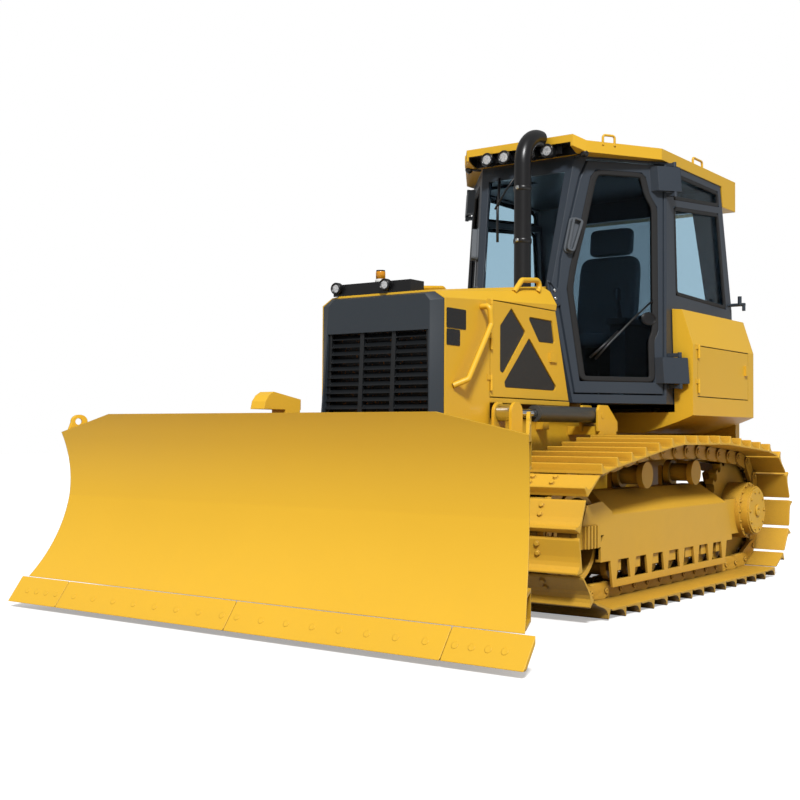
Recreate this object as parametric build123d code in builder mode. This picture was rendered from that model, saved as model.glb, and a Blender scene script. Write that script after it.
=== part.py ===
from build123d import *
import os
from math import asin, atan2, cos, hypot, pi, sin, sqrt

# Crawler dozer with a power-angle-tilt blade, as an assembly of separate pieces.
# Millimetres.  +X is the machine's left, -Y is the front, +Z is up; the origin lies on the
# ground under the middle of the machine's length.

os.makedirs("parts", exist_ok=True)

SIDES = ((1, "left"), (-1, "right"))

# ------------------------------------------------------------------ driving dimensions
# undercarriage
SHOE_WIDTH = 610
TRACK_GAUGE = 1764            # distance between the track centres
TRACK_PITCH = 175
GROUSER = 45
SHOE_PLATE = 12
LINK_RISE = 40                # pin centre to the shoe
LINK_DROP = 50                # pin centre to the rail the rollers run on
LINK_RAIL = 38
LINK_SPREAD = 60              # track centre to the inside of a link rail
SPROCKET_HALVES = 25          # teeth; every second one meets a bushing
SPROCKET_Y = 1730
WHEELBASE = 2365              # sprocket to idler
IDLER_PIN_R = 313
CARRIER_R = 78
CARRIER_Y = (250, 970)
CARRIER_PIN_Z = 853
ROLLER_R = 85
ROLLER_COUNT = 7
CHAIN_GAP = 8                 # chord sag of the straight links over a round roller
SEAT_GAP = 0.3                # running gap between curved faces

# blade
BLADE_TIP_Y = -2250
BLADE_CLEAR = 29              # cutting edge above the ground as it stands
BLADE_WIDTH_LOW = 3118
BLADE_WIDTH_TOP = 2970
BLADE_WIDTH_FLAT = 2039       # level part of the top edge
BLADE_PLATE = 16
EDGE_WIDTH = 3222
EDGE_PLATE = 22

# lift frame
PIVOT_Y, PIVOT_Z = 350, 450
ARM_X = 500
ARM_WIDTH = 76
ARM_DEPTH = 120
KINGPIN_Y = -1600
KINGPIN_R = 45
LIFT_X = 507
LIFT_EYE = (-553, 1068)       # y, z of the yoke pin on the horn
LIFT_BASE = (480, 1072)
LIFT_BARREL_R = 48
LIFT_ROD_R = 24
PIN_R = 22
TILT_AXIS_Z = 470

# hull, hood and cab
HULL_HALF = 350
HULL_PLATE = 20
HULL_BOTTOM = 400
HULL_FRONT = -880
HULL_REAR = 2120
DECK_Z = 1040
HOOD_HALF = 420
HOOD_SHEET = 18
HOOD_FRONT = -1090
HOOD_SEAM_Z = 1695
DOOR_GAP = 6
CAB_DOOR_GAP = 10
CAB_FLOOR_Z = 1150
CAB_WAIST_Z = 1850
CAB_TOP_Z = 2730
CAB_REAR_Y = 2130
CAB_MID_Z = 1910              # level at which the half widths are stated
CAB_WALL = 50
CAB_LEAN = 0.0779             # the door walls lean in towards the roof
SIDE_LEAN = 0.0287            # so do the walls behind the doors, less
SIDE_HALF = 767               # half width behind the doors
CAB_TAPER = 1 / 1.288         # sides widen from the front post to the door hinge post
CAB_HALF_NARROW = 274         # half width at the front, at the waist of the front face
CAB_FRONT_Y = 358
GLASS = 8
BODY_OUT = 920                # outer face of the rear side boxes
BODY_FRONT_Y = 1060
BODY_REAR_Y = 2150

# outside hinges of the engine and service doors
KNUCKLE_R = 9
KNUCKLE_OUT = 5
KNUCKLE_TALL = 60

# ------------------------------------------------------------------ small helpers


def block(x0, x1, y0, y1, z0, z1, mode=Mode.ADD):
    """Box between two corners."""
    with Locations(((x0 + x1) / 2, (y0 + y1) / 2, (z0 + z1) / 2)):
        Box(abs(x1 - x0), abs(y1 - y0), abs(z1 - z0), mode=mode)


def side_prism(points, x0, x1, mode=Mode.ADD):
    """Outline of (y, z) points, carried from x0 to x1."""
    with BuildSketch(Plane.YZ.offset(x0)) as profile:
        with BuildLine():
            Polyline(*points, close=True)
        make_face()
    extrude(profile.sketch, amount=x1 - x0, mode=mode)


def rounded_prism(points, corner_r, x0, x1, mode=Mode.ADD):
    """Outline of (y, z) points with rounded corners, carried from x0 to x1."""
    with BuildSketch(Plane.YZ.offset(x0)) as profile:
        with BuildLine():
            FilletPolyline(*points, radius=corner_r, close=True)
        make_face()
    extrude(profile.sketch, amount=x1 - x0, mode=mode)


def plan_prism(points, z0, z1, mode=Mode.ADD):
    """Outline of (x, y) points, carried from z0 up to z1."""
    with BuildSketch(Plane.XY.offset(z0)) as profile:
        with BuildLine():
            Polyline(*points, close=True)
        make_face()
    extrude(profile.sketch, amount=z1 - z0, mode=mode)


def front_prism(points, y0, y1, mode=Mode.ADD):
    """Outline of (x, z) points, carried from y0 back to y1."""
    with BuildSketch(Plane.XZ.offset(-y1)) as profile:
        with BuildLine():
            Polyline(*points, close=True)
        make_face()
    extrude(profile.sketch, amount=y1 - y0, mode=mode)


def bar(start, end, radius, mode=Mode.ADD):
    """Round bar between two points."""
    run = Vector(*end) - Vector(*start)
    with BuildSketch(Plane(origin=start, z_dir=run)) as profile:
        Circle(radius)
    extrude(profile.sketch, amount=run.length, mode=mode)


def disc(x0, x1, y, z, radius, mode=Mode.ADD):
    """Round bar across the machine."""
    bar((min(x0, x1), y, z), (max(x0, x1), y, z), radius, mode)


def tube_rail(points, radius, bend):
    """Bent round rail through points, with the same bend at each corner."""
    with BuildLine() as run:
        FilletPolyline(*points, radius=bend)
    with BuildSketch(Plane(origin=run.line @ 0, z_dir=run.line % 0)) as profile:
        Circle(radius)
    sweep(profile.sketch, path=run.line)


def knuckle(x, y, z):
    """Upright hinge barrel on a door's front edge, with room for the fixed barrel on top of it."""
    top = z + KNUCKLE_TALL
    bar((x, y, top), (x, y, top + KNUCKLE_TALL / 2 + 1), KNUCKLE_R + 1, Mode.SUBTRACT)
    bar((x, y, z), (x, y, top), KNUCKLE_R)


def hinge_leaf(x, y, z, side):
    """Fixed half of the hinge: a barrel on top of the door's, and its leaf ahead of the door."""
    base = z + KNUCKLE_TALL + SEAT_GAP
    bar((x, y, base), (x, y, base + KNUCKLE_TALL / 2), KNUCKLE_R)
    block(x - side * KNUCKLE_OUT, x, y - 40, y, base, base + KNUCKLE_TALL / 2)


def save(piece, name):
    """Label a finished sub-part and write it."""
    piece.part.label = name
    export_step(piece.part, f"parts/{name}.step")


# ------------------------------------------------------------------ track loop
PIN_TO_TIP = LINK_RISE + SHOE_PLATE + GROUSER
SPROCKET_PIN_R = TRACK_PITCH / 2 / sin(2 * pi / SPROCKET_HALVES)
IDLER_Y = SPROCKET_Y - WHEELBASE
SPROCKET_Z = PIN_TO_TIP + SPROCKET_PIN_R
IDLER_Z = PIN_TO_TIP + IDLER_PIN_R
CARRIER_PIN_R = CARRIER_R + LINK_DROP + CHAIN_GAP
CARRIER_Z = CARRIER_PIN_Z - CARRIER_PIN_R

# wheels the chain wraps, counterclockwise seen from +X: (y, z, radius at the pins)
WRAPS = [(IDLER_Y, IDLER_Z, IDLER_PIN_R),
         (SPROCKET_Y, SPROCKET_Z, SPROCKET_PIN_R),
         (CARRIER_Y[1], CARRIER_Z, CARRIER_PIN_R),
         (CARRIER_Y[0], CARRIER_Z, CARRIER_PIN_R)]


def belt_pieces(wraps):
    """Straight runs and arcs of a belt round the wheels, as (length, point function)."""
    count = len(wraps)
    angles = []                # direction of the outward normal on each straight run
    for i in range(count):
        y0, z0, r0 = wraps[i]
        y1, z1, r1 = wraps[(i + 1) % count]
        span = hypot(y1 - y0, z1 - z0)
        heading = atan2(z1 - z0, y1 - y0)
        angles.append(heading - pi / 2 + asin((r0 - r1) / span))
    pieces = []
    for i in range(count):
        y0, z0, r0 = wraps[i]
        y1, z1, r1 = wraps[(i + 1) % count]
        a = angles[i]
        start = (y0 + r0 * cos(a), z0 + r0 * sin(a))
        end = (y1 + r1 * cos(a), z1 + r1 * sin(a))
        run = hypot(end[0] - start[0], end[1] - start[1])
        pieces.append((run, lambda t, s=start, e=end, n=run:
                       (s[0] + (e[0] - s[0]) * t / n, s[1] + (e[1] - s[1]) * t / n)))
        turn = (angles[(i + 1) % count] - a) % (2 * pi)
        pieces.append((turn * r1, lambda t, y=y1, z=z1, r=r1, a0=a:
                       (y + r * cos(a0 + t / r), z + r * sin(a0 + t / r))))
    return pieces


def along(pieces, distance):
    """Point at a distance along the belt."""
    for length, point in pieces:
        if distance <= length:
            return point(distance)
        distance -= length
    return pieces[-1][1](pieces[-1][0])


BELT = belt_pieces(WRAPS)
BELT_LENGTH = sum(length for length, _ in BELT)
SHOES = round(BELT_LENGTH / TRACK_PITCH)
PINS = [along(BELT, BELT_LENGTH * k / SHOES) for k in range(SHOES)]


def chord_frame(k):
    """Pin k, unit direction to the next pin, outward normal and pin spacing."""
    y0, z0 = PINS[k % SHOES]
    y1, z1 = PINS[(k + 1) % SHOES]
    span = hypot(y1 - y0, z1 - z0)
    u = ((y1 - y0) / span, (z1 - z0) / span)
    return (y0, z0), u, (u[1], -u[0]), span


def offset_ring(height):
    """Corners of the chain's polygon moved outwards, mitred at the pins."""
    ring = []
    for k in range(SHOES):
        _, _, n0, _ = chord_frame(k - 1)
        (y, z), _, n1, _ = chord_frame(k)
        scale = height / (1 + n0[0] * n1[0] + n0[1] * n1[1])
        ring.append((y + (n0[0] + n1[0]) * scale, z + (n0[1] + n1[1]) * scale))
    return ring


def shoe_outline():
    """Outer edge of all the shoes; each grouser stands at the trailing edge of its plate."""
    plate = LINK_RISE + SHOE_PLATE
    # share of the pitch along the shoe, height above the pins
    section = ((0.02, plate), (0.55, plate), (0.80, plate + 0.28 * GROUSER),
               (0.93, plate + GROUSER), (0.98, plate + GROUSER), (0.995, plate))
    outline = []
    for k in range(SHOES):
        (y, z), u, n, span = chord_frame(k)
        outline += [(y + u[0] * span * s + n[0] * h, z + u[1] * span * s + n[1] * h) for s, h in section]
    return outline


TRACK_X = TRACK_GAUGE / 2
TRACK_IN = TRACK_X - SHOE_WIDTH / 2
TRACK_OUT = TRACK_X + SHOE_WIDTH / 2

for side, hand in SIDES:
    with BuildPart() as track:
        with BuildSketch(Plane.YZ.offset(side * TRACK_IN)):
            with BuildLine():
                Polyline(*shoe_outline(), close=True)
            make_face()
            with BuildLine():
                Polyline(*offset_ring(LINK_RISE), close=True)
            make_face(mode=Mode.SUBTRACT)
        extrude(amount=side * SHOE_WIDTH)
        for inner in (LINK_SPREAD, -LINK_SPREAD - LINK_RAIL):
            with BuildSketch(Plane.YZ.offset(side * TRACK_X + inner)):
                with BuildLine():
                    Polyline(*offset_ring(LINK_RISE), close=True)
                make_face()
                with BuildLine():
                    Polyline(*offset_ring(-LINK_DROP), close=True)
                make_face(mode=Mode.SUBTRACT)
            extrude(amount=LINK_RAIL)
    save(track, f"track_{hand}")

FRAME_OUT = 1020              # outer and inner faces of the track frames
FRAME_IN = 740

# ------------------------------------------------------------------ sprockets and final drives
SPROCKET_WIDE = 56
TOOTH_OVER_PIN = 12
BUSHING_POCKET_R = 30
DRUM_R = 187
DRUM_CAP_R = 163
DRUM_IN = 700
DRUM_SHOULDER = 1040
DRUM_CHAMFER = 10
DRUM_FACE = 1096

with BuildPart() as final_drives:
    for side, hand in SIDES:
        middle = side * TRACK_X
        with BuildSketch(Plane.YZ.offset(middle - SPROCKET_WIDE / 2)):
            with Locations((SPROCKET_Y, SPROCKET_Z)):
                Circle(SPROCKET_PIN_R + TOOTH_OVER_PIN)
                with PolarLocations(SPROCKET_PIN_R, SPROCKET_HALVES, start_angle=-90):
                    Circle(BUSHING_POCKET_R, mode=Mode.SUBTRACT)
        extrude(amount=SPROCKET_WIDE)
        disc(side * DRUM_IN, side * DRUM_SHOULDER, SPROCKET_Y, SPROCKET_Z, DRUM_R)
        disc(side * DRUM_SHOULDER, side * (DRUM_FACE - DRUM_CHAMFER), SPROCKET_Y, SPROCKET_Z, DRUM_CAP_R)
        disc(side * (DRUM_FACE - DRUM_CHAMFER), side * DRUM_FACE, SPROCKET_Y, SPROCKET_Z, DRUM_CAP_R - DRUM_CHAMFER)
save(final_drives, "final_drives")

# ------------------------------------------------------------------ idlers
CHORD_DIP = sqrt(IDLER_PIN_R ** 2 - (TRACK_PITCH / 2) ** 2)
IDLER_TREAD_R = CHORD_DIP - LINK_DROP - CHAIN_GAP
IDLER_TREAD_WIDE = 2 * (LINK_SPREAD + LINK_RAIL)
IDLER_FLANGE = 20
IDLER_FLANGE_WIDE = 84
IDLER_WEB = 30
IDLER_HUB_R = 62
IDLER_RIM = 34
IDLER_SHAFT_R = 36
YOKE_RAIL = 34                # idler yoke rails, inside the frame's width

with BuildPart() as idlers:
    for side, hand in SIDES:
        middle = side * TRACK_X
        half = IDLER_TREAD_WIDE / 2
        disc(middle - half, middle + half, IDLER_Y, IDLER_Z, IDLER_TREAD_R)
        for face in (-half, half):
            inner = face * IDLER_WEB / IDLER_TREAD_WIDE
            disc(middle + face, middle + inner, IDLER_Y, IDLER_Z, IDLER_TREAD_R - IDLER_RIM, Mode.SUBTRACT)
        disc(middle - IDLER_FLANGE_WIDE / 2, middle + IDLER_FLANGE_WIDE / 2, IDLER_Y, IDLER_Z,
             IDLER_TREAD_R + IDLER_FLANGE)
        for face in (-IDLER_FLANGE_WIDE / 2, IDLER_FLANGE_WIDE / 2):
            disc(middle + face, middle + face * IDLER_WEB / IDLER_FLANGE_WIDE, IDLER_Y, IDLER_Z,
                 IDLER_TREAD_R - IDLER_RIM, Mode.SUBTRACT)
        disc(middle - half, middle + half, IDLER_Y, IDLER_Z, IDLER_HUB_R)
        disc(side * (FRAME_IN + YOKE_RAIL + SEAT_GAP), side * (FRAME_OUT - YOKE_RAIL - SEAT_GAP),
             IDLER_Y, IDLER_Z, IDLER_SHAFT_R)
save(idlers, "idlers")

# ------------------------------------------------------------------ track frames
FRAME_WALL = 14
FRAME_LOW = 265
FRAME_EDGE = 515              # where the outer wall meets the sloping top
FRAME_TOP = 635
FRAME_TOP_X = 860
FRAME_FRONT = -429
FRAME_REAR = 1470
FRAME_FRONT_RUN = 144         # the front end slopes back this far up to its top edge
FRAME_REAR_RUN = 106
FRAME_CREST = 56              # and goes on so up to the top face
GUARD_LOW = 118
GUARD_BAR = 40
GUSSETS = 7
YOKE_FRONT = -700

RAIL_Z = PIN_TO_TIP + LINK_DROP + SEAT_GAP       # running surface of the bottom chain
ROLLER_Z = RAIL_Z + ROLLER_R
ROLLER_FIRST = IDLER_Y + 430
ROLLER_LAST = SPROCKET_Y - 450
ROLLER_STEP = (ROLLER_LAST - ROLLER_FIRST) / (ROLLER_COUNT - 1)
FLANGE = 34                   # bottom flange that carries the rollers
SPROCKET_ROOM = 18

IDLER_ROOM = 14
GUSSET_FOOT = 36
GUSSET_HEAD = 96
YOKE_PLATE_TOP = ((-640, 480), (-590, 577), (-415, 592), (-290, 530))
GUIDE = (-640, -490, 350, 470)          # guide block on the yoke: y and z
GUIDE_OUT = 16
GUIDE_RIBS = 4
REAR_PLATE = (984, 1012)


def frame_box(section, inset):
    """Length of the frame's section, with both ends sloping; inset makes the hollow."""
    front, rear, top = FRAME_FRONT + inset, FRAME_REAR - inset, FRAME_EDGE
    with BuildPart() as box:
        front_prism(section, front, rear)
        side_prism([(front, FRAME_LOW - 1), (front, 371), (front + FRAME_FRONT_RUN, top + 11),
                    (front + FRAME_FRONT_RUN + FRAME_CREST, FRAME_TOP + 1),
                    (rear - FRAME_REAR_RUN - FRAME_CREST, FRAME_TOP + 1), (rear - FRAME_REAR_RUN, top + 12),
                    (rear, 284), (rear, FRAME_LOW - 1)], -FRAME_OUT - 1, FRAME_OUT + 1, Mode.INTERSECT)
    return box.part


with BuildPart() as track_frames:
    for side, hand in SIDES:
        outer = [(FRAME_OUT, FRAME_LOW), (FRAME_OUT, FRAME_EDGE), (FRAME_TOP_X, FRAME_TOP),
                 (FRAME_IN, FRAME_TOP), (FRAME_IN, FRAME_LOW)]
        w = FRAME_WALL
        hollow = [(FRAME_OUT - w, FRAME_LOW), (FRAME_OUT - w, FRAME_EDGE - w),
                  (FRAME_TOP_X, FRAME_TOP - w), (FRAME_IN + w, FRAME_TOP - w), (FRAME_IN + w, FRAME_LOW)]
        add(frame_box([(side * x, z) for x, z in outer], 0))
        add(frame_box([(side * x, z) for x, z in hollow], w), mode=Mode.SUBTRACT)
        # open front end, into which the idler reaches
        block(side * (FRAME_IN + w), side * (FRAME_OUT - w), FRAME_FRONT - 1,
              IDLER_Y + IDLER_TREAD_R + IDLER_FLANGE + IDLER_ROOM, FRAME_LOW - 1, FRAME_TOP + 1, Mode.SUBTRACT)
        # bottom flanges under both walls
        block(side * (FRAME_OUT - FLANGE), side * FRAME_OUT, FRAME_FRONT, FRAME_REAR, FRAME_LOW, FRAME_LOW + w)
        block(side * FRAME_IN, side * (FRAME_IN + FLANGE), FRAME_FRONT, FRAME_REAR, FRAME_LOW, FRAME_LOW + w)
        # outer roller guard: a foot bar hung from the wall on gussets
        plate_in, plate_out = side * (FRAME_OUT - FRAME_WALL), side * FRAME_OUT
        block(plate_in, plate_out, ROLLER_FIRST - 80, ROLLER_LAST + 80, GUARD_LOW, GUARD_LOW + GUARD_BAR)
        for k in range(GUSSETS + 1):
            y = ROLLER_FIRST - 80 + (ROLLER_LAST - ROLLER_FIRST + 110) * k / GUSSETS
            spread = (GUSSET_HEAD - GUSSET_FOOT) / 2
            side_prism([(y, GUARD_LOW), (y + GUSSET_FOOT, GUARD_LOW), (y + GUSSET_FOOT + spread, FRAME_LOW),
                        (y - spread, FRAME_LOW)], plate_in, plate_out)
        # idler yoke: two slide rails forward of the box and a guide block on each
        for x0, x1 in ((FRAME_OUT - YOKE_RAIL, FRAME_OUT), (FRAME_IN, FRAME_IN + YOKE_RAIL)):
            block(side * x0, side * x1, YOKE_FRONT, FRAME_FRONT, IDLER_Z - 62, IDLER_Z + 62)
        side_prism([(YOKE_PLATE_TOP[0][0], IDLER_Z), *YOKE_PLATE_TOP, (YOKE_PLATE_TOP[-1][0], IDLER_Z)],
                   side * (FRAME_OUT - FRAME_WALL), side * FRAME_OUT)
        y0, y1, z0, z1 = GUIDE
        block(side * FRAME_OUT, side * (FRAME_OUT + GUIDE_OUT), y0, y1, z0, z1)
        for k in range(GUIDE_RIBS):
            rib_y = y0 + 12 + (y1 - y0 - 40) * k / (GUIDE_RIBS - 1)
            block(side * (FRAME_OUT + GUIDE_OUT), side * (FRAME_OUT + GUIDE_OUT + 12), rib_y, rib_y + 16, z0, z1)
        # plate between the box and the final drive
        side_prism([(FRAME_REAR - 60, 300), (SPROCKET_Y, 300), (SPROCKET_Y, 540), (FRAME_REAR - 108, 527)],
                   side * REAR_PLATE[0], side * REAR_PLATE[1])
        # rear bracket that carries the final drive
        block(side * FRAME_IN, side * (FRAME_IN + 60), FRAME_REAR, SPROCKET_Y - DRUM_R + 60,
              FRAME_LOW + 20, FRAME_TOP)
        # room for the drive's drum and the sprocket's rim
        disc(side * FRAME_IN, side * FRAME_OUT, SPROCKET_Y, SPROCKET_Z, DRUM_R + SEAT_GAP, Mode.SUBTRACT)
        disc(side * (TRACK_X - SPROCKET_WIDE / 2 - SPROCKET_ROOM), side * (TRACK_X + SPROCKET_WIDE / 2 + SPROCKET_ROOM),
             SPROCKET_Y, SPROCKET_Z, SPROCKET_PIN_R + TOOTH_OVER_PIN + SPROCKET_ROOM, Mode.SUBTRACT)
        # posts of the carrier rollers
        for y in CARRIER_Y:
            block(side * FRAME_IN, side * (FRAME_IN + 28), y - 45, y + 45, FRAME_TOP - w, CARRIER_Z + 40)
save(track_frames, "track_frames")

# ------------------------------------------------------------------ rollers
ROLLER_HALF = LINK_SPREAD + LINK_RAIL - 2
ROLLER_NECK = 60
SHAFT_R = 24
COLLAR = 50

with BuildPart() as rollers:
    for side, hand in SIDES:
        middle = side * TRACK_X
        for k in range(ROLLER_COUNT):
            y = ROLLER_FIRST + k * ROLLER_STEP
            for face in (-1, 1):
                disc(middle + face * LINK_SPREAD, middle + face * ROLLER_HALF, y, ROLLER_Z, ROLLER_R)
            disc(middle - LINK_SPREAD, middle + LINK_SPREAD, y, ROLLER_Z, ROLLER_NECK)
            disc(side * (FRAME_IN + 4), side * (FRAME_OUT - FRAME_WALL - 1), y, ROLLER_Z, SHAFT_R)
            for x0 in (FRAME_IN + 4, FRAME_OUT - FRAME_WALL - 1 - 26):
                block(side * x0, side * (x0 + 26), y - COLLAR, y + COLLAR, ROLLER_Z - 30, FRAME_LOW - SEAT_GAP)
        for y in CARRIER_Y:
            disc(side * (FRAME_IN + 28 + SEAT_GAP), middle + side * ROLLER_HALF, y, CARRIER_Z, SHAFT_R)
            for face in (-1, 1):
                disc(middle + face * LINK_SPREAD, middle + face * ROLLER_HALF, y, CARRIER_Z, CARRIER_R)
            disc(middle - LINK_SPREAD, middle + LINK_SPREAD, y, CARRIER_Z, CARRIER_R - 22)
save(rollers, "rollers")

# ------------------------------------------------------------------ main frame (hull)
CROSS_TUBE_R = 70
CROSS_TUBES = (640, 1150)
AXLE_R = 140
DRAWBAR_Y = 2250
DRAWBAR_PIN_R = 20
DRAWBAR_Z = 520
CAB_MOUNT_X = 290
CAB_MOUNT_Y = (620, 1950)

with BuildPart() as main_frame:
    # hollow hull: side plates, belly, deck, nose and tail plates
    block(-HULL_HALF, HULL_HALF, HULL_FRONT, HULL_REAR, HULL_BOTTOM, DECK_Z)
    block(-HULL_HALF + HULL_PLATE, HULL_HALF - HULL_PLATE, HULL_FRONT + HULL_PLATE, HULL_REAR - HULL_PLATE,
          HULL_BOTTOM + HULL_PLATE, DECK_Z + 1, Mode.SUBTRACT)
    # deck under the cab
    block(-HULL_HALF, HULL_HALF, 430, HULL_REAR, DECK_Z - HULL_PLATE, DECK_Z)
    for side, hand in SIDES:
        for y in CAB_MOUNT_Y:
            bar((side * CAB_MOUNT_X, y, DECK_Z - 1), (side * CAB_MOUNT_X, y, CAB_FLOOR_Z - SEAT_GAP), 55)
    # drawbar: two plates with a vertical pin bore
    for z0 in (DRAWBAR_Z - 50, DRAWBAR_Z + 26):
        block(-70, 70, HULL_REAR - HULL_PLATE, DRAWBAR_Y - 70, z0, z0 + 24)
        bar((0, DRAWBAR_Y - 70, z0), (0, DRAWBAR_Y - 70, z0 + 24), 70)
        bar((0, DRAWBAR_Y - 70, z0 - 1), (0, DRAWBAR_Y - 70, z0 + 25), DRAWBAR_PIN_R, Mode.SUBTRACT)
    block(-70, 70, HULL_REAR - HULL_PLATE, HULL_REAR + 12, DRAWBAR_Z - 100, DRAWBAR_Z + 100)
save(main_frame, "main_frame")

# ------------------------------------------------------------------ outriggers on the hull's sides
with BuildPart() as outriggers:
    for side, hand in SIDES:
        inner = side * (HULL_HALF + SEAT_GAP)
        for y in CROSS_TUBES:
            disc(inner, side * (FRAME_IN - SEAT_GAP), y, PIVOT_Z, CROSS_TUBE_R)
        disc(inner, side * (DRUM_IN - SEAT_GAP), SPROCKET_Y, SPROCKET_Z, AXLE_R)
        # trunnion boss and pin of the lift frame
        disc(inner, side * (ARM_X - ARM_WIDTH / 2 - 4), PIVOT_Y, PIVOT_Z, 95)
        disc(inner, side * (ARM_X + ARM_WIDTH / 2 + 8), PIVOT_Y, PIVOT_Z, 45)
        # bracket of the lift cylinder: a cheek either side of its eye, on an outrigger
        by, bz = LIFT_BASE
        for x0 in (LIFT_X - 66, LIFT_X + 50):
            side_prism([(by - 60, bz - 100), (by + 205, bz - 100), (by + 205, bz - 40), (by + 70, bz + 62),
                        (by - 40, bz + 62), (by - 60, bz + 30)], side * x0, side * (x0 + 16))
        block(inner, side * (LIFT_X + 66), by - 40, by + 190, DECK_Z - 90, bz - 70)
        disc(side * (LIFT_X - 68), side * (LIFT_X + 68), by, bz, PIN_R)
        # brackets under the rear of the hood
        block(inner, side * (HOOD_HALF - HOOD_SHEET - SEAT_GAP), 40, 110, DECK_Z - 60, CAB_FLOOR_Z)
save(outriggers, "outriggers")

# ------------------------------------------------------------------ engine
STACK_X = 180
STACK_Y = 165
STACK_R = 53
STACK_BASE = 1700

with BuildPart() as engine_block:
    block(-260, 260, -620, 300, 640, 1560)
    block(-200, 200, -700, -620, 760, 1300)
    for side, hand in SIDES:
        block(side * 260, side * (HULL_HALF - HULL_PLATE - SEAT_GAP), -300, -180, 700, 790)
    bar((STACK_X, STACK_Y, 1550), (STACK_X, STACK_Y, STACK_BASE - SEAT_GAP), STACK_R - 2)
save(engine_block, "engine_block")

# ------------------------------------------------------------------ hood
# cross-section of the hood: half width and height of side top, shoulder and crown
HOOD_FORE = ((HOOD_HALF, 1668), (352, 1709), (300, 1716))
HOOD_AFT = ((HOOD_HALF, 1748), (364, 1838), (300, 1878))
HOOD_LOW = 1125
HOOD_GUARD_LOW = 700
CAP_LOW = 990                 # the raised lift frame passes under the nose
HOOD_AFT_Y = 340
HOOD_COWL_HALF = 250          # middle of the hood's top runs back round the exhaust
HOOD_CAP = 50                 # depth of the nose cap in front of the hood
ENGINE_DOOR = ((-590, 1158), (-590, HOOD_SEAM_Z), (150, HOOD_SEAM_Z), (320, 1158))
ENGINE_HINGE = (HOOD_HALF + KNUCKLE_OUT, -586)
ENGINE_HINGE_Z = (1190, 1420, 1610)
MESH_PANELS = (((-365, 1672), (-203, 1543), (-447, 1290), (-487, 1304), (-487, 1562)),
               ((-163, 1514), (166, 1238), (142, 1213), (-430, 1213), (-440, 1245)),
               ((-182, 1638), (110, 1635), (143, 1498), (-46, 1496)))
MESH_CORNER_R = 14
REAR_EDGE = ((330, 1000), (330, 1150), (158, HOOD_SEAM_Z), (205, 1900), (600, 1900), (600, 1000))


def hood_section(points, low, y, inset=0):
    """Closed half-octagon section of the hood at y, moved in by the sheet."""
    right = [(x - inset, z - inset) for x, z in points]
    outline = [(-x, z) for x, z in right] + list(reversed(right))
    with BuildSketch(Plane.XZ.offset(-y)) as section:
        with BuildLine():
            Polyline((right[0][0], low), *reversed(outline), (-right[0][0], low), close=True)
        make_face()
    return section.sketch


HOOD_NOSE_Y = HOOD_FRONT + HOOD_CAP

with BuildPart() as hood:
    loft([hood_section(HOOD_FORE, HOOD_LOW, HOOD_NOSE_Y), hood_section(HOOD_AFT, HOOD_LOW, HOOD_AFT_Y)])
    loft([hood_section(HOOD_FORE, HOOD_LOW - 1, HOOD_NOSE_Y - 1, HOOD_SHEET),
          hood_section(HOOD_AFT, HOOD_LOW - 1, HOOD_AFT_Y + 1, HOOD_SHEET)], mode=Mode.SUBTRACT)
    # cheeks of the radiator guard reach down outside the hull
    for side, hand in SIDES:
        side_prism([(HOOD_NOSE_Y, HOOD_LOW), (HOOD_NOSE_Y, CAP_LOW), (HOOD_NOSE_Y + 60, CAP_LOW - 30),
                    (HOOD_NOSE_Y + 60, HOOD_GUARD_LOW), (ENGINE_DOOR[0][0] - 4, HOOD_GUARD_LOW),
                    (ENGINE_DOOR[0][0] - 4, HOOD_LOW)], side * (HOOD_HALF - HOOD_SHEET), side * HOOD_HALF)
        block(side * HULL_HALF, side * (HOOD_HALF - HOOD_SHEET), HOOD_NOSE_Y + 60, HOOD_NOSE_Y + 240,
              HOOD_GUARD_LOW, HOOD_GUARD_LOW + HOOD_SHEET)
        low, high = side * (HOOD_HALF - 3 * HOOD_SHEET), side * (HOOD_HALF + HOOD_SHEET)
        gap = DOOR_GAP
        side_prism([(-590 - gap, 1158 - gap), (-590 - gap, HOOD_SEAM_Z + gap), (400, HOOD_SEAM_Z + gap),
                    (400, 1158 - gap)], low, high, Mode.SUBTRACT)
        side_prism(REAR_EDGE, side * HOOD_COWL_HALF, side * (HOOD_HALF + 5), Mode.SUBTRACT)
        for z in ENGINE_HINGE_Z:
            hinge_leaf(side * ENGINE_HINGE[0], ENGINE_HINGE[1], z, side)
    bar((STACK_X, STACK_Y, STACK_BASE), (STACK_X, STACK_Y, 2000), STACK_R + DOOR_GAP, Mode.SUBTRACT)
save(hood, "hood")

for side, hand in SIDES:
    with BuildPart() as engine_door:
        outer, inner = side * HOOD_HALF, side * (HOOD_HALF - HOOD_SHEET)
        side_prism(ENGINE_DOOR, inner, outer)
        # three recesses that hold the mesh panels
        for mesh in MESH_PANELS:
            rounded_prism(mesh, MESH_CORNER_R, outer, outer - side * HOOD_SHEET / 2, Mode.SUBTRACT)
        # latch
        block(outer, outer + side * 10, 76, 156, 1384, 1442)
        # hinge knuckles on the front edge
        for z in ENGINE_HINGE_Z:
            knuckle(side * ENGINE_HINGE[0], ENGINE_HINGE[1], z)
    save(engine_door, f"engine_door_{hand}")

# ------------------------------------------------------------------ nose cap, grille, radiator
GRILLE_TOP = 1500
LOUVRES = 12
CAP_FACE = ((372, -1112), (345, -1076))       # half width and y of the cap's face, at its foot and at its top
CAP_FACE_TOP = 1692
CAP_BORDER = 10


def cap_half(z):
    """Half width of the cap's face at a height."""
    (low, _), (high, _) = CAP_FACE
    return low + (high - low) * (z - CAP_LOW) / (CAP_FACE_TOP - CAP_LOW)


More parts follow.
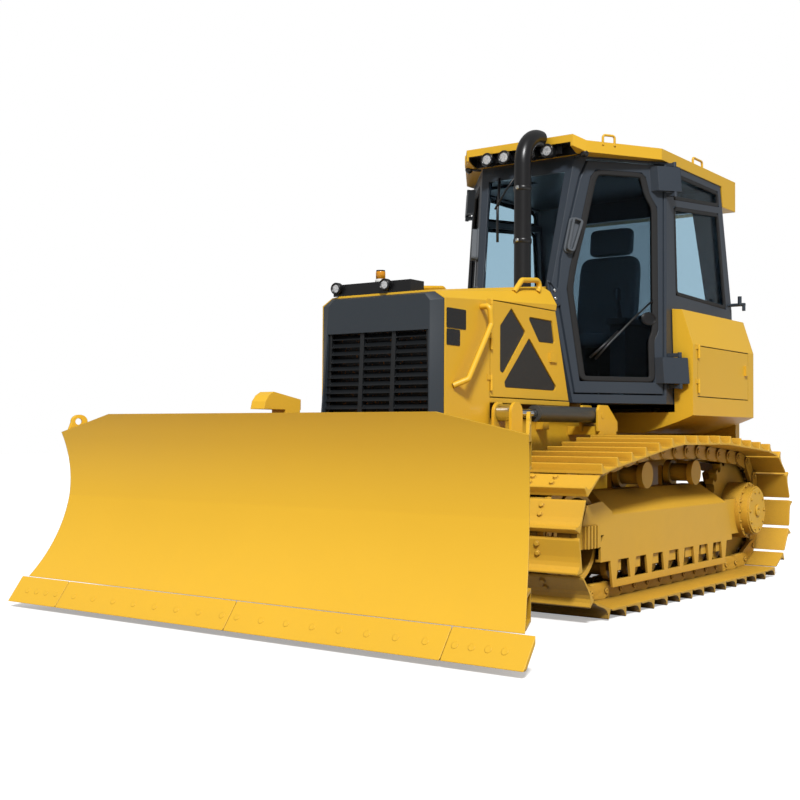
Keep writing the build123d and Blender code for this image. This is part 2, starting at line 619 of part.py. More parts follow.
def cap_y(z):
    """The cap's face leans back as it rises."""
    (_, low), (_, high) = CAP_FACE
    return low + (high - low) * (z - CAP_LOW) / (CAP_FACE_TOP - CAP_LOW)


with BuildPart() as hood_cap:
    # dark nose, narrower and leaning back towards its face
    face_plane = Plane(origin=(0, CAP_FACE[0][1], CAP_LOW), x_dir=(1, 0, 0),
                       z_dir=(0, -1, (CAP_FACE[1][1] - CAP_FACE[0][1]) / (CAP_FACE_TOP - CAP_LOW)))
    tall = hypot(CAP_FACE_TOP - CAP_LOW, CAP_FACE[1][1] - CAP_FACE[0][1])
    front_half = [(CAP_FACE[0][0], 0), (CAP_FACE[1][0], tall - 36), (CAP_FACE[1][0] - 34, tall)]
    with BuildSketch(face_plane) as face_section:
        with BuildLine():
            Polyline(*front_half, *[(-x, z) for x, z in reversed(front_half)], close=True)
        make_face()
    rear_half = [(HOOD_HALF - 6, CAP_LOW), (HOOD_HALF - 6, 1664), (350, 1705)]
    with BuildSketch(Plane.XZ.offset(-(HOOD_NOSE_Y - SEAT_GAP))) as rear_section:
        with BuildLine():
            Polyline(*rear_half, *[(-x, z) for x, z in reversed(rear_half)], close=True)
        make_face()
    loft([face_section.sketch, rear_section.sketch], ruled=True)
    low, high = cap_half(CAP_LOW) - CAP_BORDER, cap_half(GRILLE_TOP) - CAP_BORDER
    front_prism([(-low, CAP_LOW - 1), (-high, GRILLE_TOP), (high, GRILLE_TOP), (low, CAP_LOW - 1)],
                -1300, HOOD_NOSE_Y + 1, Mode.SUBTRACT)
save(hood_cap, "hood_cap")

GRILLE_IN = 14                # the grille's face, behind the cap's
GRILLE_BARS = (-122, 94)      # left edges of its two uprights
GRILLE_FRAME = 20
BAR_WIDE = 26

with BuildPart() as grille:
    tall = GRILLE_TOP - CAP_LOW
    for x in GRILLE_BARS:
        side_prism([(cap_y(CAP_LOW) + GRILLE_IN, CAP_LOW), (cap_y(GRILLE_TOP) + GRILLE_IN, GRILLE_TOP - SEAT_GAP),
                    (HOOD_NOSE_Y - 6, GRILLE_TOP - SEAT_GAP), (HOOD_NOSE_Y - 6, CAP_LOW)], x, x + BAR_WIDE)
    for side, hand in SIDES:
        low = cap_half(CAP_LOW) - CAP_BORDER - SEAT_GAP
        high = cap_half(GRILLE_TOP) - CAP_BORDER - SEAT_GAP
        front_prism([(side * low, CAP_LOW), (side * high, GRILLE_TOP - SEAT_GAP),
                     (side * (high - GRILLE_FRAME), GRILLE_TOP - SEAT_GAP), (side * (low - GRILLE_FRAME), CAP_LOW)],
                    HOOD_NOSE_Y - 34, HOOD_NOSE_Y - 6)
    for k in range(LOUVRES):
        z = CAP_LOW + 6 + (tall - 40) * k / (LOUVRES - 1)
        face, half = cap_y(z) + GRILLE_IN + 4, cap_half(z + 28) - CAP_BORDER - SEAT_GAP
        side_prism([(face, z), (face + 4, z), (face + 30, z + 28), (face + 26, z + 28)], -half, half)
save(grille, "grille")

with BuildPart() as radiator:
    block(-340, 340, HOOD_NOSE_Y + 30, HOOD_NOSE_Y + 130, 760, 1600)
    for side, hand in SIDES:
        block(side * 340, side * (HOOD_HALF - HOOD_SHEET - SEAT_GAP), HOOD_NOSE_Y + 50, HOOD_NOSE_Y + 90, 900, 1560)
save(radiator, "radiator")

# ------------------------------------------------------------------ lamps
LAMP_Y = 404
LAMP_Z = 2749
LAMP_R = 38
VISOR_Z = 2789                # ceiling of the hollow under the roof's front

with BuildPart() as lamps:
    # guard box on the nose with two lamps and a beacon, lying on the hood's slope
    crown = (HOOD_AFT[2][1] - HOOD_FORE[2][1]) / (HOOD_AFT_Y - HOOD_NOSE_Y)
    front, rear = HOOD_NOSE_Y + 4, HOOD_NOSE_Y + 130
    low_front = HOOD_FORE[2][1] + crown * (front - HOOD_NOSE_Y) + SEAT_GAP
    low_rear = HOOD_FORE[2][1] + crown * (rear - HOOD_NOSE_Y) + SEAT_GAP
    side_prism([(front, low_front), (rear, low_rear), (rear, 1782), (front, 1782)], -345, 190)
    for x in (-310, 30):
        bar((x, front - 22, 1760), (x, front + 5, 1760), 27)
    bar((-70, rear - 50, 1780), (-70, rear - 50, 1805), 18)
    bar((-70, rear - 50, 1805), (-70, rear - 50, 1856), 25)
    # rail under the roof's visor with four work lamps
    block(-300, 300, LAMP_Y + 40, LAMP_Y + 56, LAMP_Z - 16, VISOR_Z - SEAT_GAP)
    for x in (-224, -95, 95, 224):
        bar((x, LAMP_Y - 15, LAMP_Z), (x, LAMP_Y + 45, LAMP_Z), LAMP_R)
save(lamps, "lamps")

# ------------------------------------------------------------------ exhaust
STACK_TOP = 2825              # centre line of the level end
STACK_BEND_R = 200
STACK_END_Y = 375

with BuildPart() as exhaust_stack:
    with BuildLine():
        stack_path = FilletPolyline((STACK_X, STACK_Y, STACK_BASE), (STACK_X, STACK_Y, STACK_TOP),
                                    (STACK_X, STACK_END_Y, STACK_TOP), radius=STACK_BEND_R)
    with BuildSketch(Plane.XY.offset(STACK_BASE)):
        with Locations((STACK_X, STACK_Y)):
            Circle(STACK_R)
            Circle(STACK_R - 4, mode=Mode.SUBTRACT)
    sweep(path=stack_path)
save(exhaust_stack, "exhaust_stack")

# ------------------------------------------------------------------ cab
# corners of the cab's plan at three levels come from the leaning side plane


def cab_side_x(y, z):
    """Half width of the cab at y and z: the door wall, or the wall behind it."""
    door_wall = CAB_HALF_NARROW + (y - CAB_FRONT_Y) * CAB_TAPER - CAB_LEAN * (z - CAB_MID_Z)
    return min(door_wall, SIDE_HALF - SIDE_LEAN * (z - CAB_MID_Z))


def hinge_corner_y(z):
    """Where the door wall meets the wall behind it."""
    widening = SIDE_HALF - CAB_HALF_NARROW + (CAB_LEAN - SIDE_LEAN) * (z - CAB_MID_Z)
    return CAB_FRONT_Y + widening / CAB_TAPER


# y of the front and rear faces by level
CAB_FRONT = {CAB_FLOOR_Z: 432, CAB_WAIST_Z: 352, CAB_TOP_Z: 533}
CAB_BACK = {CAB_FLOOR_Z: CAB_REAR_Y, CAB_WAIST_Z: CAB_REAR_Y - 4, CAB_TOP_Z: 1973}
BACK_SLOPE = (CAB_BACK[CAB_WAIST_Z] - CAB_BACK[CAB_TOP_Z]) / (CAB_TOP_Z - CAB_WAIST_Z)


def cab_plan(z, front_y, rear_y, inset=0):
    """Hexagonal plan of the cab at one level."""
    front, rear = front_y + inset, rear_y - inset
    corner = cab_side_x(front_y, z) - inset * 0.55
    side = cab_side_x(rear_y, z) - inset
    half = [(corner, front), (side, hinge_corner_y(z) + inset * 0.2), (side, rear)]
    return half + [(-x, y) for x, y in reversed(half)]


def cab_level(z, low, high, inset=0):
    """Face of the cab's plan at a level between two stated ones."""
    share = (z - low) / (high - low)
    front_y = CAB_FRONT[low] + (CAB_FRONT[high] - CAB_FRONT[low]) * share
    rear_y = CAB_BACK[low] + (CAB_BACK[high] - CAB_BACK[low]) * share
    with BuildSketch(Plane.XY.offset(z)) as level:
        with BuildLine():
            Polyline(*cab_plan(z, front_y, rear_y, inset), close=True)
        make_face()
    return level.sketch


def cab_body(inset=0, cap=0, mode=Mode.ADD):
    """Lower and upper halves of the cab's outer form, or of its inside."""
    for low, high in ((CAB_FLOOR_Z, CAB_WAIST_Z), (CAB_WAIST_Z, CAB_TOP_Z)):
        z0 = low + (cap if low == CAB_FLOOR_Z else 0)
        z1 = high - (cap if high == CAB_TOP_Z else 0)
        loft([cab_level(z0, low, high, inset), cab_level(z1, low, high, inset)], mode=mode)


DOOR_TOP = 2704
DOOR_SILL = 1214
DOOR_REAR_GAP = 20            # from the door's rear edge to the wall's corner
CAB_DOOR = ((448, DOOR_SILL), (392, CAB_WAIST_Z), (422, 2050), (556, 2585), (606, DOOR_TOP),
            (hinge_corner_y(DOOR_TOP) - DOOR_REAR_GAP, DOOR_TOP), (hinge_corner_y(DOOR_SILL) - DOOR_REAR_GAP, DOOR_SILL))
DOOR_GLASS = ((476, 1286), (440, 1868), (466, 2010), (542, 2307), (612, 2600), (645, 2650), (900, 2650), (924, 2620),
              (938, 2510), (976, 2425), (930, 1618), (903, 1553), (893, 1286))
SIDE_GLASS = (((1150, 2500), (1150, 2686), (1925, 2686), (1945, 2575)),
              ((1142, 1868), (1142, 2456), (1922, 2528), (2020, 1850)))
DOOR_PLANE_NORMAL = Vector(1, -CAB_TAPER, CAB_LEAN).normalized()


def grow(points, gap):
    """Outline moved outwards from its middle by about gap."""
    my = sum(p[0] for p in points) / len(points)
    mz = sum(p[1] for p in points) / len(points)
    return [(y + gap * (1 if y > my else -1), z + gap * (1 if z > mz else -1)) for y, z in points]


def door_slab(side, depth, thick):
    """Keep only a slab that lies depth inside the door plane, thick deep."""
    normal = Vector(side * DOOR_PLANE_NORMAL.X, DOOR_PLANE_NORMAL.Y, DOOR_PLANE_NORMAL.Z)
    origin = Vector(side * CAB_HALF_NARROW, CAB_FRONT_Y, CAB_MID_Z) - normal * depth
    with BuildSketch(Plane(origin=origin, z_dir=normal)) as slab:
        Circle(3000)
    extrude(slab.sketch, amount=-thick, mode=Mode.INTERSECT)


HINGE_BOX = 46                # hinge boxes stand this far out of the door
HINGE_BOX_IN = 8
# each hinge box: lower and upper level, front and rear edge
HINGE_BOXES = ((1281, 1448, 895, 1036), (2531, 2691, 945, 1074))
HINGE_OUT = 34                # hinge line, out of the door's face
HINGE_FOOT = (1021, 1365)     # y and z of the hinge line's foot on the door's face
HINGE_RUN = 0.04              # the hinge line goes back this much as it rises
HINGE_PIN_R = 13


def hinge_point(side, z):
    """Point of the door's hinge line at a height."""
    y = HINGE_FOOT[0] + HINGE_RUN * (z - HINGE_FOOT[1])
    x = CAB_HALF_NARROW + (y - CAB_FRONT_Y) * CAB_TAPER - CAB_LEAN * (z - CAB_MID_Z)
    return Vector(side * x, y, z) + Vector(side * DOOR_PLANE_NORMAL.X, DOOR_PLANE_NORMAL.Y, 0) * HINGE_OUT


with BuildPart() as cab_frame:
    cab_body()
    cab_body(CAB_WALL, 30, Mode.SUBTRACT)
    for side, hand in SIDES:
        side_prism(grow(CAB_DOOR, CAB_DOOR_GAP), side * 200, side * 1000, Mode.SUBTRACT)
        for window in SIDE_GLASS:
            side_prism(window, side * 500, side * 1000, Mode.SUBTRACT)
    # windscreen, lower front glass and rear window
    front_prism([(-232, 1885), (-285, 2630), (285, 2630), (232, 1885)], 200, 700, Mode.SUBTRACT)
    front_prism([(-600, 1850), (-540, 2560), (540, 2560), (600, 1850)], 1800, 2300, Mode.SUBTRACT)
    for side, hand in SIDES:
        # hinge pins of the door, under and over each hinge box, on brackets from the post
        for low, high, front, rear in HINGE_BOXES:
            for z0, z1 in ((low - 34, low - 1.3), (high + 1.3, high + 34)):
                bar(tuple(hinge_point(side, z0)), tuple(hinge_point(side, z1)), HINGE_PIN_R)
                pin = hinge_point(side, (z0 + z1) / 2)
                block(side * (cab_side_x(CAB_REAR_Y, pin.Z) - 10), pin.X, pin.Y - HINGE_PIN_R, pin.Y + HINGE_PIN_R,
                      z0 + 4, z1 - 4)
    # bracket with two knobs, out from the left rear post
    knob_x, knob_y, knob_z = 890, 2070, 1885
    bar((cab_side_x(CAB_REAR_Y, knob_z) - 8, knob_y, knob_z), (knob_x, knob_y, knob_z), 12)
    bar((knob_x - 40, knob_y, knob_z), (knob_x - 40, knob_y, knob_z + 60), 14)
    bar((knob_x - 10, knob_y, knob_z - 45), (knob_x - 10, knob_y, knob_z + 10), 12)
save(cab_frame, "cab_frame")

ROOF_FRONT_HALF = 396
ROOF_FRONT_Y = 411
ROOF_TOP_Z = 2804
ROOF_BAND = 74                # height of the roof's edge
ROOF_BREAK_Y = 487            # ahead of here the roof turns up to a visor
VISOR_RISE = 33
ROOF_REAR_Y = 2250
ROOF_TAIL_Z = 2585
ROOF_TAIL_GAP = 10

with BuildPart() as cab_roof:
    tail_y = CAB_BACK[CAB_TOP_Z] + ROOF_TAIL_GAP
    side_prism([(ROOF_FRONT_Y, ROOF_TOP_Z + VISOR_RISE - ROOF_BAND), (ROOF_FRONT_Y, ROOF_TOP_Z + VISOR_RISE),
                (ROOF_BREAK_Y, ROOF_TOP_Z), (ROOF_REAR_Y, ROOF_TOP_Z), (ROOF_REAR_Y, ROOF_TAIL_Z),
                (tail_y + BACK_SLOPE * (CAB_TOP_Z - ROOF_TAIL_Z), ROOF_TAIL_Z), (tail_y, CAB_TOP_Z + SEAT_GAP),
                (ROOF_BREAK_Y, CAB_TOP_Z + SEAT_GAP)], -800, 800)
    plan_prism([(ROOF_FRONT_HALF, ROOF_FRONT_Y), (454, ROOF_BREAK_Y), (750, 960), (750, ROOF_REAR_Y),
                (-750, ROOF_REAR_Y), (-750, 960), (-454, ROOF_BREAK_Y), (-ROOF_FRONT_HALF, ROOF_FRONT_Y)],
               2500, 2900, Mode.INTERSECT)
    block(-ROOF_FRONT_HALF + 16, ROOF_FRONT_HALF - 16, ROOF_FRONT_Y - 10, 512, 2500, VISOR_Z, Mode.SUBTRACT)
    # lifting eyes: bent rods along the roof's edges
    for side, hand in SIDES:
        for start, end, z in (((516, 588), (562, 660), ROOF_TOP_Z), ((736, 1500), (736, 1660), ROOF_TOP_Z)):
            with BuildLine() as eye:
                FilletPolyline((side * start[0], start[1], z - 20), (side * start[0], start[1], z + 45),
                               (side * end[0], end[1], z + 45), (side * end[0], end[1], z - 20), radius=18)
            with BuildSketch(Plane(origin=(side * start[0], start[1], z - 20))) as eye_ring:
                Circle(8)
            sweep(eye_ring.sketch, path=eye.line)
save(cab_roof, "cab_roof")

# window panes: slabs just inside the cab's outer faces
PANE_IN = 20


def side_pane(side, window):
    """Pane parallel to the rear side wall, which leans like the door."""
    normal = Vector(side, 0, SIDE_LEAN).normalized()
    origin = Vector(side * SIDE_HALF, 1500, CAB_MID_Z) - normal * PANE_IN
    side_prism(window, side * 500, side * 1000)
    with BuildSketch(Plane(origin=origin, z_dir=normal)) as slab:
        Circle(3000)
    extrude(slab.sketch, amount=-GLASS, mode=Mode.INTERSECT)


panes = []
for side, hand in SIDES:
    for window in SIDE_GLASS:
        with BuildPart() as pane:
            side_pane(side, grow(window, -SEAT_GAP))
        panes.append(pane.part)

with BuildPart() as windscreen:
    front_prism([(-232 + SEAT_GAP, 1885 + SEAT_GAP), (-285 + SEAT_GAP, 2630 - SEAT_GAP),
                 (285 - SEAT_GAP, 2630 - SEAT_GAP), (232 - SEAT_GAP, 1885 + SEAT_GAP)], 200, 700)
    front_slope = (CAB_FRONT[CAB_TOP_Z] - CAB_FRONT[CAB_WAIST_Z]) / (CAB_TOP_Z - CAB_WAIST_Z)
    front_normal = Vector(0, -1, front_slope).normalized()
    with BuildSketch(Plane(origin=Vector(0, CAB_FRONT[CAB_WAIST_Z], CAB_WAIST_Z) - front_normal * PANE_IN,
                           z_dir=front_normal)):
        Circle(3000)
    extrude(amount=-GLASS, mode=Mode.INTERSECT)
panes.append(windscreen.part)

with BuildPart() as rear_pane:
    front_prism([(-600 + SEAT_GAP, 1850 + SEAT_GAP), (-540 + SEAT_GAP, 2560 - SEAT_GAP),
                 (540 - SEAT_GAP, 2560 - SEAT_GAP), (600 - SEAT_GAP, 1850 + SEAT_GAP)], 1800, 2300)
    back_normal = Vector(0, 1, BACK_SLOPE).normalized()
    with BuildSketch(Plane(origin=Vector(0, CAB_BACK[CAB_WAIST_Z], CAB_WAIST_Z) - back_normal * PANE_IN,
                           z_dir=back_normal)):
        Circle(3000)
    extrude(amount=-GLASS, mode=Mode.INTERSECT)
panes.append(rear_pane.part)

with BuildPart() as cab_glass:
    for pane in panes:
        add(pane)
save(cab_glass, "cab_glass")

DOOR_THICK = 44


def leaning_plate(side, outline, depth, thick):
    """Plate of a (y, z) outline, parallel to the door and depth inside its outer face."""
    with BuildPart() as plate:
        side_prism(outline, side * 50, side * 1050)
        door_slab(side, depth, thick)
    return plate.part


for side, hand in SIDES:
    with BuildPart() as cab_door:
        side_prism(CAB_DOOR, side * 100, side * 1000)
        side_prism(DOOR_GLASS, side * 50, side * 1050, Mode.SUBTRACT)
        door_slab(side, 0, DOOR_THICK)
        # hinge boxes stand out over the hinge post
        for low, high, front, rear in HINGE_BOXES:
            edge = hinge_corner_y(low) - DOOR_REAR_GAP
            on_door = [(front, low), (edge - 2, low), (edge - 2, high), (front, high)]
            over_post = [(front, low), (rear, low), (rear, high), (front, high)]
            add(leaning_plate(side, on_door, -HINGE_BOX_IN, HINGE_BOX_IN))
            add(leaning_plate(side, over_post, -HINGE_BOX, HINGE_BOX - HINGE_BOX_IN))
    save(cab_door, f"cab_door_{hand}")
    with BuildPart() as door_glass:
        side_prism(grow(DOOR_GLASS, -SEAT_GAP), side * 100, side * 1000)
        door_slab(side, 16, GLASS)
    save(door_glass, f"door_glass_{hand}")

# ------------------------------------------------------------------ seat and console
SEAT_HALF = 245
SEAT_Z = 1660                 # top of the cushion
HEADREST_Z = 2262

with BuildPart() as seat:
    block(-SEAT_HALF, SEAT_HALF, 1180, 1680, SEAT_Z - 110, SEAT_Z)
    side_prism([(1600, SEAT_Z - 20), (1720, SEAT_Z - 20), (1805, HEADREST_Z), (1700, HEADREST_Z)],
               -SEAT_HALF + 8, SEAT_HALF - 8)
    side_prism([(1708, HEADREST_Z - 10), (1790, HEADREST_Z - 10), (1805, 2462), (1732, 2472)], -172, 172)
    block(-170, 170, 1230, 1640, CAB_FLOOR_Z + 30, SEAT_Z - 110)
save(seat, "seat")

with BuildPart() as console:
    for side, hand in SIDES:
        block(side * 290, side * 400, 1150, 1700, CAB_FLOOR_Z + 30, 1700)
        block(side * 275, side * 415, 1120, 1560, 1700, 1740)
        bar((side * 345, 1180, 1740), (side * 345, 1150, 1860), 16)
        bar((side * 345, 1150, 1860), (side * 345, 1145, 1900), 26)
    block(-200, 200, 500, 620, CAB_FLOOR_Z + 30, 1760)
save(console, "console")

# ------------------------------------------------------------------ rear body
FENDER_LOW_X = 575
FENDER_LOW_Z = 965
BODY_GAP = 5
SERVICE_FRONT_Y = 1142
SERVICE_REAR_Y = 2040
SERVICE_LOW_Z = 1205
SERVICE_TOP_Z = 1528
SERVICE_PLATE = 20
SERVICE_POCKET = 120
SERVICE_HINGE_Z = (SERVICE_LOW_Z + 20, SERVICE_TOP_Z - 80)

with BuildPart() as rear_body:
    for side, hand in SIDES:
        inner = cab_side_x(CAB_REAR_Y, DECK_Z + 60) + BODY_GAP
        inner_top = cab_side_x(CAB_REAR_Y, 1772) + BODY_GAP
        with BuildSketch(Plane.XZ.offset(-BODY_REAR_Y)):
            with BuildLine():
                Polyline((side * inner_top, 1772), (side * 846, 1765), (side * BODY_OUT, 1537), (side * BODY_OUT, 1080))
                ThreePointArc((side * BODY_OUT, 1080), (side * 740, 1012), (side * FENDER_LOW_X, FENDER_LOW_Z))
                Polyline((side * FENDER_LOW_X, FENDER_LOW_Z), (side * (HULL_HALF + SEAT_GAP), FENDER_LOW_Z),
                         (side * (HULL_HALF + SEAT_GAP), DECK_Z + 60), (side * inner, DECK_Z + 60),
                         (side * inner_top, 1772))
            make_face()
        extrude(amount=BODY_REAR_Y - BODY_FRONT_Y)
    # tank across the back, below the rear window
    block(-cab_side_x(CAB_REAR_Y, CAB_FLOOR_Z) - 5, cab_side_x(CAB_REAR_Y, CAB_FLOOR_Z) + 5,
          CAB_REAR_Y + 6, BODY_REAR_Y + 60, 700, 1700)
    for side, hand in SIDES:
        block(side * (BODY_OUT - SERVICE_POCKET), side * (BODY_OUT + 1), SERVICE_FRONT_Y - DOOR_GAP, SERVICE_REAR_Y + DOOR_GAP,
              SERVICE_LOW_Z - DOOR_GAP, SERVICE_TOP_Z + DOOR_GAP, Mode.SUBTRACT)
        for z in SERVICE_HINGE_Z:
            hinge_leaf(side * (BODY_OUT + KNUCKLE_OUT), SERVICE_FRONT_Y + 4, z, side)
save(rear_body, "rear_body")

for side, hand in SIDES:
    with BuildPart() as service_door:
        block(side * (BODY_OUT - SERVICE_PLATE), side * BODY_OUT, SERVICE_FRONT_Y, SERVICE_REAR_Y,
              SERVICE_LOW_Z, SERVICE_TOP_Z)
        for z in SERVICE_HINGE_Z:
            knuckle(side * (BODY_OUT + KNUCKLE_OUT), SERVICE_FRONT_Y + 4, z)
        block(side * BODY_OUT, side * (BODY_OUT + 14), SERVICE_REAR_Y - 70, SERVICE_REAR_Y - 30, 1370, 1440)
    save(service_door, f"service_door_{hand}")

# ------------------------------------------------------------------ blade
# front face of the mouldboard, (y, z) at the crease and at the mid points of its two arcs
BLADE_LOW = (-2154, 158)
BLADE_LOWER_MID = (-2020, 385)
BLADE_CREASE = (-1962, 596)
BLADE_UPPER_MID = (-1967, 800)
BLADE_TOP = (-2050, 1042)
BLADE_SHOULDER_Z = 946
BLADE_BACK = -1870


def face_curve(back):
    """Low, middle, crease, middle and top points of the blade's face, moved back."""
    return [(y + back, z) for y, z in (BLADE_LOW, BLADE_LOWER_MID, BLADE_CREASE, BLADE_UPPER_MID, BLADE_TOP)]


def mouldboard_section(x, thick):
    """Section of the mouldboard plate: the front arcs, and the same arcs moved back."""
    front, rear = face_curve(0), face_curve(thick)
    with BuildSketch(Plane.YZ.offset(x)) as section:
        with BuildLine():
            ThreePointArc(front[0], front[1], front[2])
            ThreePointArc(front[2], front[3], front[4])
            Line(front[4], rear[4])
            ThreePointArc(rear[4], rear[3], rear[2])
            ThreePointArc(rear[2], rear[1], rear[0])
            Line(rear[0], front[0])
        make_face()
    return section.sketch


def ahead_of_blade(x, back):
    """Everything in front of the mouldboard's face moved back, as a section."""
    face = face_curve(back)
    with BuildSketch(Plane.YZ.offset(x)) as section:
        with BuildLine():
            ThreePointArc(face[0], face[1], face[2])
            ThreePointArc(face[2], face[3], face[4])
            Polyline(face[4], (face[4][0], 1200), (-2400, 1200), (-2400, 0), (face[0][0], 0), face[0])
        make_face()
    return section.sketch


BLADE_END_TAPER = 0.48        # the ends are cut on a plane that leans in towards the back


def blade_plan():
    """Plan of the blade's ends: narrower towards the back."""
    front, rear = BLADE_LOW[0] - 150, BLADE_BACK + 200
    half = [(BLADE_WIDTH_LOW / 2 - BLADE_END_TAPER * (y - BLADE_LOW[0]), y) for y in (front, rear)]
    return half + [(-x, y) for x, y in reversed(half)]


def blade_front():
    """Front view of the blade: its upper corners are cut."""
    half = [(BLADE_WIDTH_LOW, 0), (BLADE_WIDTH_LOW, BLADE_SHOULDER_Z), (BLADE_WIDTH_TOP / 2, BLADE_SHOULDER_Z),
            (BLADE_WIDTH_FLAT / 2, BLADE_TOP[1] + 6)]
    return half + [(-x, z) for x, z in reversed(half)]


EYE_CENTRE = (-1924, 1004)    # y, z
EYE_R = 18
EYE_PLATE = 16
EYE_FOOT = (60, 46)           # ahead of the hole and behind it
BOX_TOP = 930                 # top of the blade's upper box


def lifting_eye(side):
    """Holed lug that stands on the upper box, in the plane of the blade's end."""
    (y, z), slant = EYE_CENTRE, hypot(1, BLADE_END_TAPER)
    end_x = BLADE_WIDTH_LOW / 2 - BLADE_END_TAPER * (y - BLADE_LOW[0])
    outward = Vector(side, BLADE_END_TAPER, 0) / slant
    with BuildPart() as lug:
        side_prism([(y - EYE_FOOT[0], BOX_TOP + SEAT_GAP), (y + EYE_FOOT[1], BOX_TOP + SEAT_GAP),
                    (y + 33, z + 18), (y - 30, z + 22)], 0, side * 2000)
        disc(0, side * 2000, y, z, 38)
        with BuildSketch(Plane(origin=(side * end_x, y, z), z_dir=outward)) as slab:
            Rectangle(400, 400)
        extrude(slab.sketch, amount=-EYE_PLATE, mode=Mode.INTERSECT)
        start = Vector(side * end_x, y, z) + outward
        bar(tuple(start), tuple(start - outward * (EYE_PLATE + 2)), EYE_R, Mode.SUBTRACT)
    return lug.part


BOX_PLATE = 14
BLADE_RIBS = (291, 560, 1000, BLADE_WIDTH_LOW / 2 - 179)
TILT_Y = -1800
TILT_EYE_WIDE = 50
TILT_CHEEKS = (TILT_Y - TILT_EYE_WIDE / 2 - 18 - SEAT_GAP, TILT_Y + TILT_EYE_WIDE / 2 + SEAT_GAP)

with BuildPart() as blade:
    # back structure: a low box and an upper box, with ribs that follow the plate
    for y0, z0, z1 in ((-2100, 160, 300), (-2000, 800, BOX_TOP)):
        block(-BLADE_WIDTH_LOW / 2 - 5, BLADE_WIDTH_LOW / 2 + 5, y0, BLADE_BACK, z0, z1)
        block(-BLADE_WIDTH_LOW, BLADE_WIDTH_LOW, y0 - 50, BLADE_BACK - BOX_PLATE, z0 + BOX_PLATE, z1 - BOX_PLATE,
              Mode.SUBTRACT)
    for x in BLADE_RIBS:
        for side, hand in SIDES:
            block(side * x - 9, side * x + 9, -2100, BLADE_BACK, 160, BOX_TOP)
    block(-300, 300, BLADE_BACK - 20, BLADE_BACK, 300, 800)
    # trunnion socket
    bar((0, BLADE_BACK - 60, TILT_AXIS_Z), (0, BLADE_BACK + 20, TILT_AXIS_Z), 150)
    # cut the back structure inside the plate, then lay the plate on it
    extrude(ahead_of_blade(-BLADE_WIDTH_LOW, BLADE_PLATE / 2), amount=2 * BLADE_WIDTH_LOW, mode=Mode.SUBTRACT)
    extrude(mouldboard_section(-BLADE_WIDTH_LOW / 2 - 10, BLADE_PLATE), amount=BLADE_WIDTH_LOW + 20)
    front_prism(blade_front(), -2500, -1700, Mode.INTERSECT)
    plan_prism(blade_plan(), 0, 1200, Mode.INTERSECT)
    bar((0, BLADE_BACK - 90, TILT_AXIS_Z), (0, BLADE_BACK + 30, TILT_AXIS_Z), 90 + SEAT_GAP, Mode.SUBTRACT)
    # ears of the tilt cylinder
    for y0 in TILT_CHEEKS:
        front_prism([(560, 740), (680, 740), (680, 860), (650, 890), (590, 890), (560, 860)], y0, y0 + 18)
    block(560, 680, -1890, TILT_CHEEKS[1] + 18, 722, 744)
    block(560, 680, -1890, BLADE_BACK, 722, 810)
save(blade, "blade")

# lifting eyes in the planes of the blade's ends
with BuildPart() as blade_eyes:
    for side, hand in SIDES:
        add(lifting_eye(side))
save(blade_eyes, "blade_eyes")

with BuildPart() as blade_edges:
    edge = [(BLADE_TIP_Y, BLADE_CLEAR), (BLADE_LOW[0] - SEAT_GAP, BLADE_LOW[1]),
            (BLADE_LOW[0] - SEAT_GAP, BLADE_LOW[1] - 30), (BLADE_TIP_Y + EDGE_PLATE, BLADE_CLEAR)]
    side_prism(edge, -EDGE_WIDTH / 2, EDGE_WIDTH / 2)
save(blade_edges, "blade_edges")

# ------------------------------------------------------------------ lift frame
ARM_LOW = PIVOT_Z - ARM_DEPTH / 2
ARM_HIGH = PIVOT_Z + ARM_DEPTH / 2
ARM_IN = ARM_X - ARM_WIDTH / 2
ARM_OUT = ARM_X + ARM_WIDTH / 2
NOSE_R = 100
EAR = 18
EAR_GAP = 47                  # half the space between the ears of the lift yoke
ANGLE_BASE = (470, -750)
ANGLE_EYE = (560, -1715)
ANGLE_Z = ARM_HIGH + 70
ANGLE_EYE_WIDE = 54
ANGLE_LUGS = (ANGLE_Z - ANGLE_EYE_WIDE / 2 - SEAT_GAP - EAR, ANGLE_Z + ANGLE_EYE_WIDE / 2 + SEAT_GAP)

